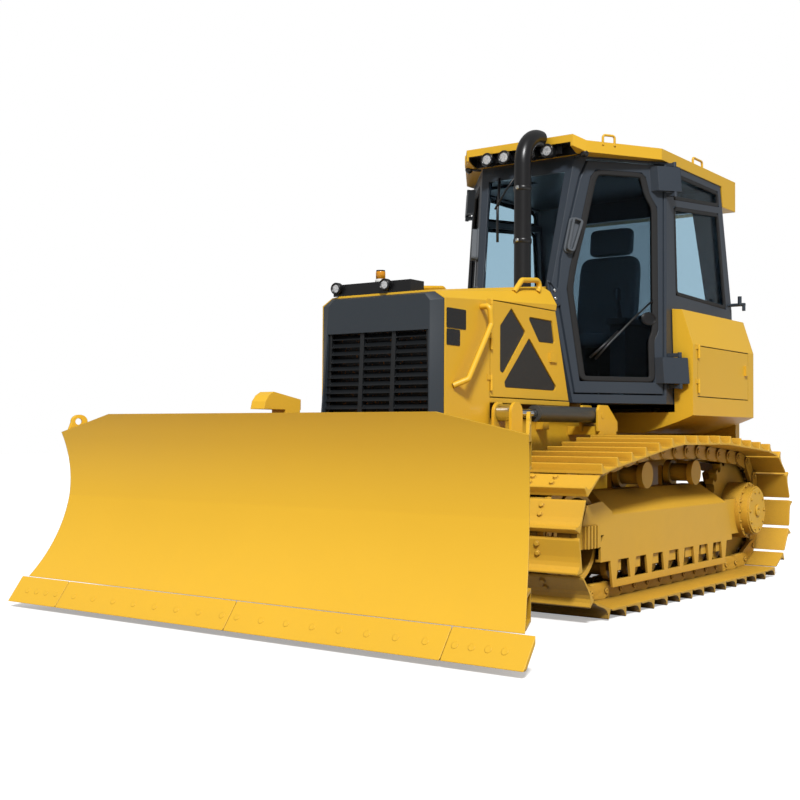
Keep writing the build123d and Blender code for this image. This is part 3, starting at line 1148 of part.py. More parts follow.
with BuildPart() as c_frame:
    half = [(ARM_OUT, PIVOT_Y), (ARM_OUT, -1130), (NOSE_R, KINGPIN_Y), (0, KINGPIN_Y)]
    plan_prism(half + [(0, KINGPIN_Y + 170), (ARM_IN, -1060), (ARM_IN, PIVOT_Y)], ARM_LOW, ARM_HIGH)
    plan_prism([(-x, y) for x, y in half + [(0, KINGPIN_Y + 170), (ARM_IN, -1060), (ARM_IN, PIVOT_Y)]],
               ARM_LOW, ARM_HIGH)
    bar((0, KINGPIN_Y, ARM_LOW), (0, KINGPIN_Y, ARM_HIGH), NOSE_R)
    bar((0, KINGPIN_Y, ARM_LOW - 1), (0, KINGPIN_Y, ARM_HIGH + 1), KINGPIN_R + SEAT_GAP, Mode.SUBTRACT)
    ey, ez = LIFT_EYE
    for side, hand in SIDES:
        disc(side * ARM_IN, side * ARM_OUT, PIVOT_Y, PIVOT_Z, 88)
        disc(side * (ARM_IN - 1), side * (ARM_OUT + 1), PIVOT_Y, PIVOT_Z, 45 + SEAT_GAP, Mode.SUBTRACT)
        # horn, splitting into two ears
        side_prism([(ey - 110, ARM_HIGH - 10), (ey + 110, ARM_HIGH - 10), (ey + 60, ez - 150), (ey - 60, ez - 150)],
                   side * ARM_IN, side * ARM_OUT)
        block(side * (LIFT_X - EAR_GAP - EAR), side * (LIFT_X + EAR_GAP + EAR), ey - 60, ey + 60, ez - 180, ez - 130)
        for x0 in (LIFT_X - EAR_GAP - EAR, LIFT_X + EAR_GAP):
            block(side * x0, side * (x0 + EAR), ey - 60, ey + 60, ez - 150, ez)
            disc(side * x0, side * (x0 + EAR), ey, ez, 60)
        # lugs of the angle cylinder, above and below its eye
        ax, ay = ANGLE_BASE
        for z0 in ANGLE_LUGS:
            block(side * (ax - 45), side * (ax + 45), ay - 45, ay + 70, z0, z0 + 18)
        block(side * (ax - 45), side * (ax + 45), ay + 52, ay + 90, ARM_HIGH - 5, ANGLE_Z + 46)
save(c_frame, "c_frame")

# ------------------------------------------------------------------ swing yoke between lift frame and blade
YOKE_PLATE = 30
YOKE_GAP = 5
YOKE_BACK = -1740
YOKE_FACE = BLADE_BACK + 30
BEAM_BACK = -1780
TOWER = (-85, 5)
TILT_BASE = (TOWER[1] + 60, TILT_Y, 900)
TILT_EYE = (620, TILT_Y, 840)

with BuildPart() as blade_yoke:
    for z0 in (ARM_HIGH + YOKE_GAP, ARM_LOW - YOKE_GAP - YOKE_PLATE):
        plan_prism([(-150, YOKE_BACK), (150, YOKE_BACK), (90, KINGPIN_Y), (-90, KINGPIN_Y)], z0, z0 + YOKE_PLATE)
        bar((0, KINGPIN_Y, z0), (0, KINGPIN_Y, z0 + YOKE_PLATE), 90)
    bar((0, KINGPIN_Y, ARM_LOW - YOKE_GAP - YOKE_PLATE), (0, KINGPIN_Y, ARM_HIGH + YOKE_GAP + YOKE_PLATE), KINGPIN_R)
    # beam, trunnion and the ears of the angle cylinders
    block(-200, 200, YOKE_FACE, YOKE_BACK, 340, 640)
    block(-620, 620, YOKE_FACE, BEAM_BACK, 420, 628)
    bar((0, BLADE_BACK - 60, TILT_AXIS_Z), (0, YOKE_FACE + 10, TILT_AXIS_Z), 90)
    for side, hand in SIDES:
        ex, ey = ANGLE_EYE
        for z0 in ANGLE_LUGS:
            block(side * (ex - 45), side * (ex + 45), BEAM_BACK - 20, ey + 45, z0, z0 + 18)
    # tower with the hose guard on top
    block(TOWER[0], TOWER[1], YOKE_FACE + 10, YOKE_BACK + 20, 600, 1090)
    for y0 in TILT_CHEEKS:
        front_prism([(TOWER[1] - 20, 840), (TILT_BASE[0] + 20, 855), (TILT_BASE[0] + 42, TILT_BASE[2]),
                     (TILT_BASE[0] + 20, 945), (TOWER[1] - 20, 960)], y0, y0 + 18)
    side_prism([(-1985, 1062), (-1975, 1100), (-1950, 1130), (-1915, 1148), (-1715, 1115), (-1715, 1062)],
               TOWER[0], TOWER[1])
save(blade_yoke, "blade_yoke")


# ------------------------------------------------------------------ cylinders
BARREL_START = 62             # from the base pin to the barrel's end cap
BORE_SPARE = 12


def cylinder_pair(base, eye, barrel_reach, rod_start, travel_in, barrel_r, rod_r, eye_r, eye_wide, pin_axis):
    """Barrel with its eye at base, and rod with its eye drum at eye; the rod can go travel_in further in."""
    first, last = Vector(*base), Vector(*eye)
    way = (last - first).normalized()
    cross = Vector(*pin_axis) * (eye_wide / 2)
    with BuildPart() as barrel:
        bar(tuple(first), tuple(first + way * BARREL_START), barrel_r * 0.55)
        bar(tuple(first + way * BARREL_START), tuple(first + way * barrel_reach), barrel_r)
        bar(tuple(first + way * (rod_start - travel_in - BORE_SPARE)), tuple(first + way * (barrel_reach + 1)),
            rod_r + 1, Mode.SUBTRACT)
        bar(tuple(first - cross), tuple(first + cross), eye_r)
    with BuildPart() as rod:
        bar(tuple(first + way * rod_start), tuple(last), rod_r)
        bar(tuple(last - cross), tuple(last + cross), eye_r)
    return barrel, rod


for side, hand in SIDES:
    barrel, rod = cylinder_pair((side * LIFT_X, LIFT_BASE[0], LIFT_BASE[1]), (side * LIFT_X, LIFT_EYE[0], LIFT_EYE[1]),
                                barrel_reach=735, rod_start=320, travel_in=190, barrel_r=LIFT_BARREL_R, rod_r=LIFT_ROD_R,
                                eye_r=48, eye_wide=88, pin_axis=(1, 0, 0))
    with barrel:
        disc(side * (LIFT_X - 50), side * (LIFT_X + 50), LIFT_BASE[0], LIFT_BASE[1], PIN_R + SEAT_GAP, Mode.SUBTRACT)
    save(barrel, f"lift_barrel_{hand}")
    save(rod, f"lift_rod_{hand}")
    barrel, rod = cylinder_pair((side * ANGLE_BASE[0], ANGLE_BASE[1], ANGLE_Z), (side * ANGLE_EYE[0], ANGLE_EYE[1], ANGLE_Z),
                                barrel_reach=660, rod_start=340, travel_in=236, barrel_r=42, rod_r=22,
                                eye_r=38, eye_wide=ANGLE_EYE_WIDE, pin_axis=(0, 0, 1))
    save(barrel, f"angle_barrel_{hand}")
    save(rod, f"angle_rod_{hand}")

barrel, rod = cylinder_pair(TILT_BASE, TILT_EYE, barrel_reach=400, rod_start=150, travel_in=64, barrel_r=40, rod_r=20,
                            eye_r=34, eye_wide=TILT_EYE_WIDE, pin_axis=(0, 1, 0))
save(barrel, "tilt_barrel")
save(rod, "tilt_rod")

# ------------------------------------------------------------------ handrails
RAIL_R = 16
RAIL_BEND = 34
CROWN_SLOPE = (HOOD_AFT[1][1] - HOOD_FORE[1][1]) / (HOOD_AFT_Y - HOOD_NOSE_Y)


def hood_shoulder(y, height=0):
    """Point on the hood's shoulder at y, so far above it."""
    share = (y - HOOD_NOSE_Y) / (HOOD_AFT_Y - HOOD_NOSE_Y)
    x = HOOD_FORE[1][0] + (HOOD_AFT[1][0] - HOOD_FORE[1][0]) * share
    return x, y, HOOD_FORE[1][1] + CROWN_SLOPE * (y - HOOD_NOSE_Y) + height


# y of the front foot, the two top corners and the rear foot
SHOULDER_RAILS = {"left": (-236, -147, 100, 35), "right": (-313, -245, 86, 165)}

with BuildPart() as handrails:
    for side, hand in SIDES:
        x = side * (HOOD_HALF + SEAT_GAP)
        tube_rail([(x, -690, 1650), (x + side * 58, -690, 1650), (x + side * 58, -676, 1550),
                   (x + side * 58, -905, 1240), (x, -965, 1205)], RAIL_R, 24)
        # grab rail on each shoulder of the hood
        front_foot, front_top, rear_top, rear_foot = SHOULDER_RAILS[hand]
        points = (hood_shoulder(front_foot, -5), hood_shoulder(front_top, 66), hood_shoulder(rear_top, 68),
                  hood_shoulder(rear_foot, -5))
        tube_rail([(side * p[0], p[1], p[2]) for p in points], RAIL_R, RAIL_BEND)
    add(hood.part, mode=Mode.SUBTRACT)
save(handrails, "handrails")

print("shoes per track", SHOES, "shoe spacing", round(BELT_LENGTH / SHOES, 2))
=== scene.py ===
# %% [markdown]
# # A crawler dozer, dressed in Blender
# The construction model gives every panel and pin its place. This lesson loads that model,
# paints it, and adds the small things that construction leaves out: track shoes, bolts, punched
# screens, glass rubber, wipers, lamp bowls and the seat's cushions.

# %% Load the construction model
import math

import bmesh
import bpy
import numpy as np
from mathutils import Matrix, Vector


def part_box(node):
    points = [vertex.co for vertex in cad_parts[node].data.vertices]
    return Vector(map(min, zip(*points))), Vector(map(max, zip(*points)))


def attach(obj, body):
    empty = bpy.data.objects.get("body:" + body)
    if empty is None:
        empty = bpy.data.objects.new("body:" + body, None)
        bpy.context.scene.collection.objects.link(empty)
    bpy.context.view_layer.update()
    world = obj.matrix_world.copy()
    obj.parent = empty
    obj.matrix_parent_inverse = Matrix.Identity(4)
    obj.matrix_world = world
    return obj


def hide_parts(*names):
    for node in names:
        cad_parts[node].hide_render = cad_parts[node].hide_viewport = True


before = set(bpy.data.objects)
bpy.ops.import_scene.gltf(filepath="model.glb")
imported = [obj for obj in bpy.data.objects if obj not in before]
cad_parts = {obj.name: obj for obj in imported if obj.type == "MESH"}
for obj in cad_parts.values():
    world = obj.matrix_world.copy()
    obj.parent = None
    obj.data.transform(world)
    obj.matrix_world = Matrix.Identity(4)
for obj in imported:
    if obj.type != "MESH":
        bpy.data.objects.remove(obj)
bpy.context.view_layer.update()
SIDES = ((1, "left"), (-1, "right"))

# %% [markdown]
# ## The camera
# A camera needs a place, a direction and a lens. Its rotation is written as three columns: its
# right, its up and the way back out of its lens. A hair of roll is worked in at the end.

# %% Camera
camera_place = Vector((4.005, -6.349, 0.939))
yaw, pitch, roll = 0.6308, 0.0290, 0.0066
forward = Vector((-math.sin(yaw) * math.cos(pitch), math.cos(yaw) * math.cos(pitch), math.sin(pitch)))
right = Vector((math.cos(yaw), math.sin(yaw), 0))
up = right.cross(forward)
right, up = (right * math.cos(roll) + up * math.sin(roll), up * math.cos(roll) - right * math.sin(roll))
camera_data = bpy.data.cameras.new("camera")
camera_data.sensor_width = 36
camera_data.lens = 54.8
camera = bpy.data.objects.new("camera", camera_data)
bpy.context.scene.collection.objects.link(camera)
camera.matrix_world = Matrix((
    (right.x, up.x, -forward.x, camera_place.x),
    (right.y, up.y, -forward.y, camera_place.y),
    (right.z, up.z, -forward.z, camera_place.z),
    (0, 0, 0, 1)))
bpy.context.scene.camera = camera
print("camera at", tuple(round(value, 3) for value in camera_place))

# %% [markdown]
# ## Helpers for shapes
# A surface is a grid of points that two numbers run over. The helpers below turn such grids into
# meshes, carry a ring along a path, spin a profile, round off a flat outline, and stamp one small
# shape at many places. All of them work on whole arrays. Every closed shell is turned face outwards.

# %% From arrays to a mesh
pieces_made = []


def new_piece(name, points, faces, material, body, smooth=True, slot=None):
    """Mesh object from points and faces, riding on a body, its faces turned outwards."""
    mesh = bpy.data.meshes.new(name)
    mesh.from_pydata(np.asarray(points, float).reshape(-1, 3).tolist(), [], faces)
    mesh.validate()
    mesh.update()
    mesh.polygons.foreach_set("use_smooth", np.full(len(mesh.polygons), smooth))
    piece = bpy.data.objects.new(name, mesh)
    bpy.context.scene.collection.objects.link(piece)
    mesh.materials.append(material)
    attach(piece, body)
    shell = bmesh.new()
    shell.from_mesh(mesh)
    bmesh.ops.recalc_face_normals(shell, faces=shell.faces)
    shell.to_mesh(mesh)
    shell.free()
    pieces_made.append(name)
    return piece


def grid_faces(rows, columns, wrap_rows=False, wrap_columns=True):
    """Four-sided faces between neighbouring points of a grid."""
    i, j = np.meshgrid(np.arange(rows if wrap_rows else rows - 1),
                       np.arange(columns if wrap_columns else columns - 1), indexing="ij")
    i2, j2 = (i + 1) % rows, (j + 1) % columns
    around = (i * columns + j, i * columns + j2, i2 * columns + j2, i2 * columns + j)
    return np.stack(around, -1).reshape(-1, 4)


def capped_grid(grid):
    """Points and faces of a tube-like grid (rows of rings), with one flat face across each end ring."""
    rows, columns = grid.shape[:2]
    faces = grid_faces(rows, columns).tolist()
    faces.append(list(range(columns))[::-1])
    faces.append(list(range((rows - 1) * columns, rows * columns)))
    return grid.reshape(-1, 3), faces


def joined(*shapes):
    """Several (points, faces) shapes as one."""
    points, faces, start = [], [], 0
    for shape_points, shape_faces in shapes:
        shape_points = np.asarray(shape_points, float).reshape(-1, 3)
        points.append(shape_points)
        faces += [[index + start for index in face] for face in shape_faces]
        start += len(shape_points)
    return np.concatenate(points), faces


# %% Tubes, turned shapes, outlines and stamps


def tube(path, radius, sides=12, flat=(0.31, 0.17, 0.94)):
    """Ring of a radius carried along a path: point + radius (cos a side + sin a other), where side and
    other stand square to the path's direction. flat is a direction the path never runs along."""
    path = np.asarray(path, float)
    run = np.gradient(path, axis=0)
    run /= np.linalg.norm(run, axis=1, keepdims=True)
    side = np.cross(run, flat)
    side /= np.linalg.norm(side, axis=1, keepdims=True)
    other = np.cross(run, side)
    angle = np.linspace(0, 2 * np.pi, sides, endpoint=False)[None, :, None]
    radius = np.broadcast_to(np.asarray(radius, float), (len(path),))[:, None, None]
    ring = path[:, None] + radius * (np.cos(angle) * side[:, None] + np.sin(angle) * other[:, None])
    return capped_grid(ring)


def square_frame(axis):
    """Three unit directions as rows: two square to axis, then axis."""
    axis = np.asarray(axis, float) / np.linalg.norm(axis)
    helper = np.array([0, 0, 1.0]) if abs(axis[2]) < 0.9 else np.array([1.0, 0, 0])
    side = np.cross(helper, axis)
    side /= np.linalg.norm(side)
    return np.array([side, np.cross(axis, side), axis])


def turned(profile, centre, axis, sides=24):
    """Profile of (radius, height) pairs spun round an axis:
    centre + radius (cos a side + sin a other) + height axis."""
    profile = np.asarray(profile, float)
    basis = square_frame(axis)
    angle = np.linspace(0, 2 * np.pi, sides, endpoint=False)[None, :]
    local = np.stack([profile[:, :1] * np.cos(angle), profile[:, :1] * np.sin(angle),
                      np.broadcast_to(profile[:, 1:], (len(profile), sides))], -1)
    return capped_grid(local @ basis + np.asarray(centre, float))


def rounded_outline(corners, radius, steps=5):
    """Closed flat outline with rounded corners: near a corner b the point is (1-t)^2 a + 2t(1-t) b + t^2 c,
    where a and c lie a radius before and after it."""
    corners = np.asarray(corners, float)
    to_before = np.roll(corners, 1, 0) - corners
    to_after = np.roll(corners, -1, 0) - corners
    length_before = np.linalg.norm(to_before, axis=1, keepdims=True)
    length_after = np.linalg.norm(to_after, axis=1, keepdims=True)
    a = corners + to_before / length_before * np.minimum(radius, length_before * 0.45)
    c = corners + to_after / length_after * np.minimum(radius, length_after * 0.45)
    t = np.linspace(0, 1, steps)[None, :, None]
    arcs = (1 - t) ** 2 * a[:, None] + 2 * t * (1 - t) * corners[:, None] + t ** 2 * c[:, None]
    return arcs.reshape(-1, 2)


def inset_outline(outline, amount):
    """Outline moved inwards along its own normals."""
    ahead = np.roll(outline, -1, 0) - np.roll(outline, 1, 0)
    ahead /= np.linalg.norm(ahead, axis=1, keepdims=True) + 1e-12
    normal = np.stack([-ahead[:, 1], ahead[:, 0]], 1)
    area = np.sum(outline[:, 0] * np.roll(outline[:, 1], -1) - outline[:, 1] * np.roll(outline[:, 0], -1))
    return outline + normal * amount * np.sign(area)


def stamp(shape, places, axes):
    """One small shape at many places, its own +Z turned to each axis."""
    points, faces = shape
    bases = np.array([square_frame(axis) for axis in axes])
    world = np.einsum("pi,nij->npj", points, bases) + np.asarray(places, float)[:, None]
    count = len(points)
    indices = [[index + k * count for index in face] for k in range(len(bases)) for face in faces]
    return world.reshape(-1, 3), indices


UPRIGHT = ((0, 0, 0), (0, 0, 1))     # centre and axis of a shape that is to be stamped


def bolt_shape(size, sides=6):
    """Hexagon head on a round washer: two turned profiles, the head with six sides, the washer with 12."""
    washer = size * np.array([(1.25, 0), (1.25, 0.18), (1, 0.2)])
    head = size * np.array([(1, 0.1), (1, 0.75), (0.85, 0.9), (0.4, 0.92)])
    return joined(turned(washer, *UPRIGHT, 12), turned(head, *UPRIGHT, sides))


# %% [markdown]
# ## Finishes
# Sprayed machine paint is never one flat colour. It has a fine orange-peel bump, slow changes of
# tone and dust that gathers low down. Corners also get painted shade: a dark brown mixed in where
# the ambient occlusion node finds close neighbours. These effects live in one node group, so that
# each paint only sets how much of each it has.

# %% Helpers for shader nodes


def feed(node, inputs):
    """Gives each named input a number or a colour, or links it to the output socket that feeds it."""
    for name, value in inputs.items():
        if isinstance(value, bpy.types.NodeSocket):
            node.id_data.links.new(value, node.inputs[name])
        else:
            node.inputs[name].default_value = value
    return node


def add_node(tree, kind, inputs=(), **settings):
    """New shader node with its settings, such as its operation, and its inputs fed."""
    node = tree.nodes.new("ShaderNode" + kind)
    for name, value in settings.items():
        setattr(node, name, value)
    return feed(node, dict(inputs))


def srgb(red, green, blue):
    """Colour as it is written on a screen, 0 to 255, as Blender's linear values."""
    value = np.array([red, green, blue]) / 255
    linear = np.where(value <= 0.04045, value / 12.92, ((value + 0.055) / 1.055) ** 2.4)
    return (*linear.tolist(), 1.0)


# %% Shared group: paint film
TONE_SCALE, DUST_SCALE, PEEL_SCALE = 1.7, 9, 260     # how many times a metre each pattern repeats
CORNER_REACH = 0.45                                  # how far a corner looks for neighbours, in metres
EDGE_RADIUS = 0.005                                  # rounding seen on the edges of sheet metal
# dark brown of the painted shade in corners
CORNER_SHADE_BROWN = (0.055, 0.022, 0.006, 1)


def film_group():
    """Group that tints a colour with slow tone changes, dust and painted shade in corners, and bumps the
    surface.
    """
    group = bpy.data.node_groups.new("paint_film", "ShaderNodeTree")
    sockets = group.interface
    for name in ("Paint", "Dust"):
        sockets.new_socket(name, in_out="INPUT", socket_type="NodeSocketColor")
    for name in ("Tone", "Dust Amount", "Dust Height", "Roughness", "Peel", "Scale", "Corner Shade"):
        sockets.new_socket(name, in_out="INPUT", socket_type="NodeSocketFloat")
    for name, kind in (("Color", "Color"), ("Roughness", "Float"), ("Normal", "Vector")):
        sockets.new_socket(name, in_out="OUTPUT", socket_type="NodeSocket" + kind)
    given = group.nodes.new("NodeGroupInput").outputs
    where = add_node(group, "TexCoord").outputs["Object"]

    # tone: paint times 1 + tone (noise - 0.5)
    slow = add_node(group, "TexNoise", {"Vector": where, "Scale": TONE_SCALE, "Detail": 4})
    centred = add_node(group, "Math", {0: slow.outputs["Fac"], 1: 0.5}, operation="SUBTRACT")
    scaled = add_node(group, "Math", {0: centred.outputs[0], 1: given["Tone"], 2: 1.0},
                      operation="MULTIPLY_ADD")
    toned = add_node(group, "VectorMath", {0: given["Paint"], "Scale": scaled.outputs[0]}, operation="SCALE")

    # dust: patchy, and thicker towards the ground
    split = add_node(group, "SeparateXYZ", {0: where})
    low = add_node(group, "MapRange", {"Value": split.outputs["Z"], "From Min": 0,
                                       "From Max": given["Dust Height"], "To Min": 1, "To Max": 0})
    patch = add_node(group, "TexNoise", {"Vector": where, "Scale": DUST_SCALE, "Detail": 8,
                                         "Roughness": 0.65})
    both = add_node(group, "Math", {0: low.outputs["Result"], 1: patch.outputs["Fac"]}, operation="MULTIPLY")
    amount = add_node(group, "Math", {0: both.outputs[0], 1: given["Dust Amount"]}, operation="MULTIPLY",
                      use_clamp=True)
    dusty = add_node(group, "Mix", data_type="RGBA")
    feed(dusty, {"Factor": amount.outputs[0], "A": toned.outputs[0], "B": given["Dust"]})

    # painted shade: dark brown mixed in where the ambient occlusion node finds close neighbours, in corners
    # and under parts
    corner = add_node(group, "AmbientOcclusion", {"Distance": CORNER_REACH}, samples=4)
    hidden = add_node(group, "MapRange", {"Value": corner.outputs["AO"], "From Min": 0.15, "From Max": 0.62,
                                          "To Min": 1, "To Max": 0})
    corner_shade = add_node(group, "Math", {0: hidden.outputs["Result"], 1: given["Corner Shade"]}, operation="MULTIPLY")
    corner_shaded = add_node(group, "Mix", data_type="RGBA")
    feed(corner_shaded, {"Factor": corner_shade.outputs[0], "A": dusty.outputs["Result"], "B": CORNER_SHADE_BROWN})

    # roughness rises with the dust and wanders a little
    rougher = add_node(group, "Math", {0: amount.outputs[0], 1: 0.35, 2: given["Roughness"]},
                       operation="MULTIPLY_ADD")
    wander = add_node(group, "Math", {0: centred.outputs[0], 1: 0.12, 2: rougher.outputs[0]},
                      operation="MULTIPLY_ADD")

    # orange peel, over edges that the bevel node rounds by a few millimetres
    finer = add_node(group, "Math", {0: given["Scale"], 1: PEEL_SCALE}, operation="MULTIPLY")
    grain = add_node(group, "TexNoise", {"Vector": where, "Scale": finer.outputs[0], "Detail": 2})
    soft = add_node(group, "Bevel", {"Radius": EDGE_RADIUS}, samples=4)
    bump = add_node(group, "Bump", {"Strength": given["Peel"], "Distance": 0.002,
                                    "Height": grain.outputs["Fac"], "Normal": soft.outputs["Normal"]})
    feed(group.nodes.new("NodeGroupOutput"), {
        "Color": corner_shaded.outputs["Result"], "Roughness": wander.outputs[0], "Normal": bump.outputs["Normal"]})
    return group


paint_film = film_group()
print("paint film:", len(paint_film.nodes), "nodes")

# %% Materials with and without the film


def shader_of(material):
    """The Principled shader of a material."""
    return material.node_tree.nodes["Principled BSDF"]


def bare_material(name, colour, roughness=0.5, metallic=0.0, **inputs):
    """Material with one Principled shader. Further inputs are named with _ for each space."""
    material = bpy.data.materials.new(name)
    material.use_nodes = True
    feed(shader_of(material), {"Base Color": colour, "Roughness": roughness, "Metallic": metallic})
    feed(shader_of(material), {key.replace("_", " "): value for key, value in inputs.items()})
    return material


DUST_COLOUR = srgb(150, 120, 85)


def film_material(name, colour, roughness, tone=0.06, dust=0.2, dust_height=0.6, peel=0.05, scale=1.0,
                  metallic=0.0, corner_shade=0.0):
    """Paint that passes through the shared film group."""
    material = bare_material(name, colour, roughness, metallic)
    film = add_node(material.node_tree, "Group", node_tree=paint_film)
    # the corner amount sets how much painted shade darkens the paint's corners
    feed(film, {"Paint": colour, "Dust": DUST_COLOUR, "Tone": tone, "Dust Amount": dust, "Corner Shade": corner_shade,
                "Dust Height": dust_height, "Roughness": roughness, "Peel": peel, "Scale": scale})
    feed(shader_of(material), {"Base Color": film.outputs["Color"], "Roughness": film.outputs["Roughness"],
                               "Normal": film.outputs["Normal"]})
    return material


# %% [markdown]
# Most finishes are the same film with other numbers. Bright metal, glass and small smooth parts
# take the plain Principled shader. The panes' index of refraction is low, so they mirror little.

# %% The paints and metals
# The last number of the two yellows sets how much painted shade darkens their corners.
yellow = film_material("machine_yellow", srgb(240, 188, 46), 0.42, tone=0.05, dust=0.10, corner_shade=0.55)
track_yellow = film_material("track_yellow", srgb(232, 180, 50), 0.5, tone=0.10, dust=0.22, dust_height=1.2,
                             peel=0.12, corner_shade=0.9)
slate = film_material("slate_frame_paint", srgb(52, 60, 70), 0.38, tone=0.10, dust=0.08, peel=0.08)
charcoal = film_material("charcoal_cap_paint", srgb(48, 55, 62), 0.45, tone=0.08, dust=0.05, peel=0.10)
grille_black = film_material("grille_black", srgb(22, 25, 28), 0.42, tone=0.08, dust=0.05, peel=0.08)
barrel_grey = film_material("barrel_grey", srgb(66, 66, 62), 0.40, tone=0.10, dust=0.15, peel=0.08)
black = film_material("black_enamel", srgb(18, 18, 20), 0.32, tone=0.15, dust=0.03, peel=0.04)
rubber = film_material("black_rubber", srgb(22, 22, 23), 0.75, tone=0.2, dust=0.05, peel=0.25, scale=0.6)
cab_plastic = film_material("cab_plastic", srgb(84, 90, 97), 0.6, tone=0.1, dust=0.0, peel=0.4, scale=1.6)
chrome = bare_material("polished_rod", srgb(205, 208, 212), 0.12, 1.0)
zinc = bare_material("zinc_fastener", srgb(176, 178, 176), 0.3, 1.0)
engine_paint = film_material("engine_enamel", srgb(120, 82, 30), 0.5, tone=0.3)
seat_cloth = film_material("seat_cloth", srgb(128, 137, 146), 0.9, tone=0.2, dust=0.0, peel=0.8, scale=2.2)
gloss_black = bare_material("gloss_black_plate", srgb(20, 20, 22), 0.25)
amber = bare_material("amber_lens", srgb(226, 150, 28), 0.25)
white_plastic = bare_material("white_collar", srgb(222, 222, 218), 0.4)
glass = bare_material("tinted_glass", srgb(196, 216, 226), 0.03, Transmission_Weight=1.0, IOR=1.10)
door_glass = bare_material("dark_door_glass", srgb(112, 128, 138), 0.03, Transmission_Weight=1.0, IOR=1.14)
print(len(bpy.data.materials), "materials")

# %% [markdown]
# The radiator is seen between the louvres, with warm flecks of what lies behind its open fins.
# Nothing is modelled there: the paint gets a second colour, mixed in where a fine noise is high.

# %% Radiator
radiator_core = film_material("radiator_fins", srgb(48, 50, 53), 0.6, dust=0.1, peel=0.5, scale=0.4,
                              metallic=0.4)
tree = radiator_core.node_tree
fins = shader_of(radiator_core).inputs["Base Color"].links[0].from_socket
fleck = add_node(tree, "TexNoise", {"Vector": add_node(tree, "TexCoord").outputs["Object"], "Scale": 75})
mask = add_node(tree, "MapRange", {"Value": fleck.outputs["Fac"], "From Min": 0.58, "From Max": 0.70})
mix = feed(add_node(tree, "Mix", data_type="RGBA"),
           {"Factor": mask.outputs["Result"], "A": fins, "B": srgb(150, 96, 34)})
feed(shader_of(radiator_core), {"Base Color": mix.outputs["Result"]})
print("radiator:", len(tree.nodes), "nodes")

# %% [markdown]
# ## Painting the construction pieces
# Each construction node keeps its shape. Here it is given one of the finishes above.

# %% Give each node its finish
finishes = {
    yellow: ["hood", "engine_door_left", "engine_door_right", "cab_roof", "rear_body", "service_door_left",
             "service_door_right", "blade", "blade_eyes", "blade_edges", "c_frame", "blade_yoke",
             "main_frame", "outriggers", "handrails"],
    track_yellow: ["track_left", "track_right", "final_drives", "idlers", "track_frames", "rollers"],
    slate: ["cab_frame", "cab_door_left", "cab_door_right"],
    barrel_grey: ["lift_barrel_left", "lift_barrel_right", "angle_barrel_left", "angle_barrel_right",
                  "tilt_barrel"],
    charcoal: ["hood_cap"],
    grille_black: ["grille"],
    black: ["lamps", "exhaust_stack"],
    chrome: ["lift_rod_left", "lift_rod_right", "angle_rod_left", "angle_rod_right", "tilt_rod"],
    radiator_core: ["radiator"],
    engine_paint: ["engine_block"],
    seat_cloth: ["seat"],
    cab_plastic: ["console"],
    glass: ["cab_glass"],
    door_glass: ["door_glass_left", "door_glass_right"],
}
for material, names in finishes.items():
    for name in names:
        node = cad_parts[name]
        node.data.materials.clear()
        node.data.materials.append(material)
print("painted", sum(len(names) for names in finishes.values()), "of", len(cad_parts))

# %% [markdown]
# ## Working on sloping walls
# The cab's doors and side walls lean, so flat trim is drawn in the wall's own measures, y and z,
# and a place function carries each drawn point and its distance out of the wall into the model.

# %% Walls as functions of y, z and the distance out
DOOR_FRONT_X, DOOR_FRONT_Y, DOOR_SPREAD, DOOR_LEAN = 0.274, 0.358, 1.288, 0.0779
WALL_X, WALL_LEAN, WAIST_Z = 0.767, 0.0287, 1.910
SCREEN_Y, SCREEN_LEAN, SCREEN_Z = 0.352, 0.2057, 1.850
DOOR_OUT = np.array([1, -1 / DOOR_SPREAD, DOOR_LEAN])
DOOR_OUT /= np.linalg.norm(DOOR_OUT)


def door_place(side):
    """(y, z, out) on the door's wall: x = front x + (y - front y)/spread - lean (z - waist), plus out along
    its normal."""
    def place(y, z, out):
        x = DOOR_FRONT_X + (y - DOOR_FRONT_Y) / DOOR_SPREAD - DOOR_LEAN * (z - WAIST_Z)
        point = np.stack([x, y, z], -1) + np.asarray(out)[..., None] * DOOR_OUT
        return point * (side, 1, 1)
    return place


def wall_place(side):
    """(y, z, out) on the wall behind the door: x = wall x - lean (z - waist) + out."""
    def place(y, z, out):
        return np.stack([side * (WALL_X - WALL_LEAN * (z - WAIST_Z) + out), y, z], -1)
    return place


def screen_place(x, z, out):
    """(x, z, out) on the windscreen: y = screen y + lean (z - screen z), less out."""
    return np.stack([x, SCREEN_Y + SCREEN_LEAN * (z - SCREEN_Z) - out, z], -1)


def upright_place(side, x):
    """(y, z, out) on an upright plate that faces sideways at x."""
    def place(y, z, out):
        return np.stack([side * (x + out) + 0 * y, y, z], -1)
    return place


def trim(rings, place, closed=False):
    """Trim drawn as rings of one outline, each at its own distance out of the wall. A closed trim is a
    band with a hole in it; an open one is a plate, capped at both ends."""
    grid = np.stack([place(ring[:, 0], ring[:, 1], np.full(len(ring), float(out))) for ring, out in rings])
    if not closed:
        return capped_grid(grid)
    return grid.reshape(-1, 3), grid_faces(*grid.shape[:2], wrap_rows=True).tolist()


def plate(outline, low, high, place, ease=0.002):
    """Plate with an eased front edge."""
    outline = np.asarray(outline, float)
    return trim([(outline, low), (outline, high - ease),
                 (inset_outline(outline, ease * 0.3), high - ease * 0.3),
                 (inset_outline(outline, ease), high)], place)


def band(outline, width, low, high, place):
    """Rubber or frame band of a width, inside an outline, with rounded shoulders."""
    outline = np.asarray(outline, float)
    shoulder = high - width * 0.15
    steps = ((0, low), (0, shoulder), (0.18, high), (0.82, high), (1, shoulder), (1, low))
    return trim([(inset_outline(outline, width * share), out) for share, out in steps], place, closed=True)


def oval(y, z, radius, count=20):
    """Round outline."""
    angle = np.linspace(0, 2 * np.pi, count, endpoint=False)
    return np.stack([y + radius * np.cos(angle), z + radius * np.sin(angle)], 1)

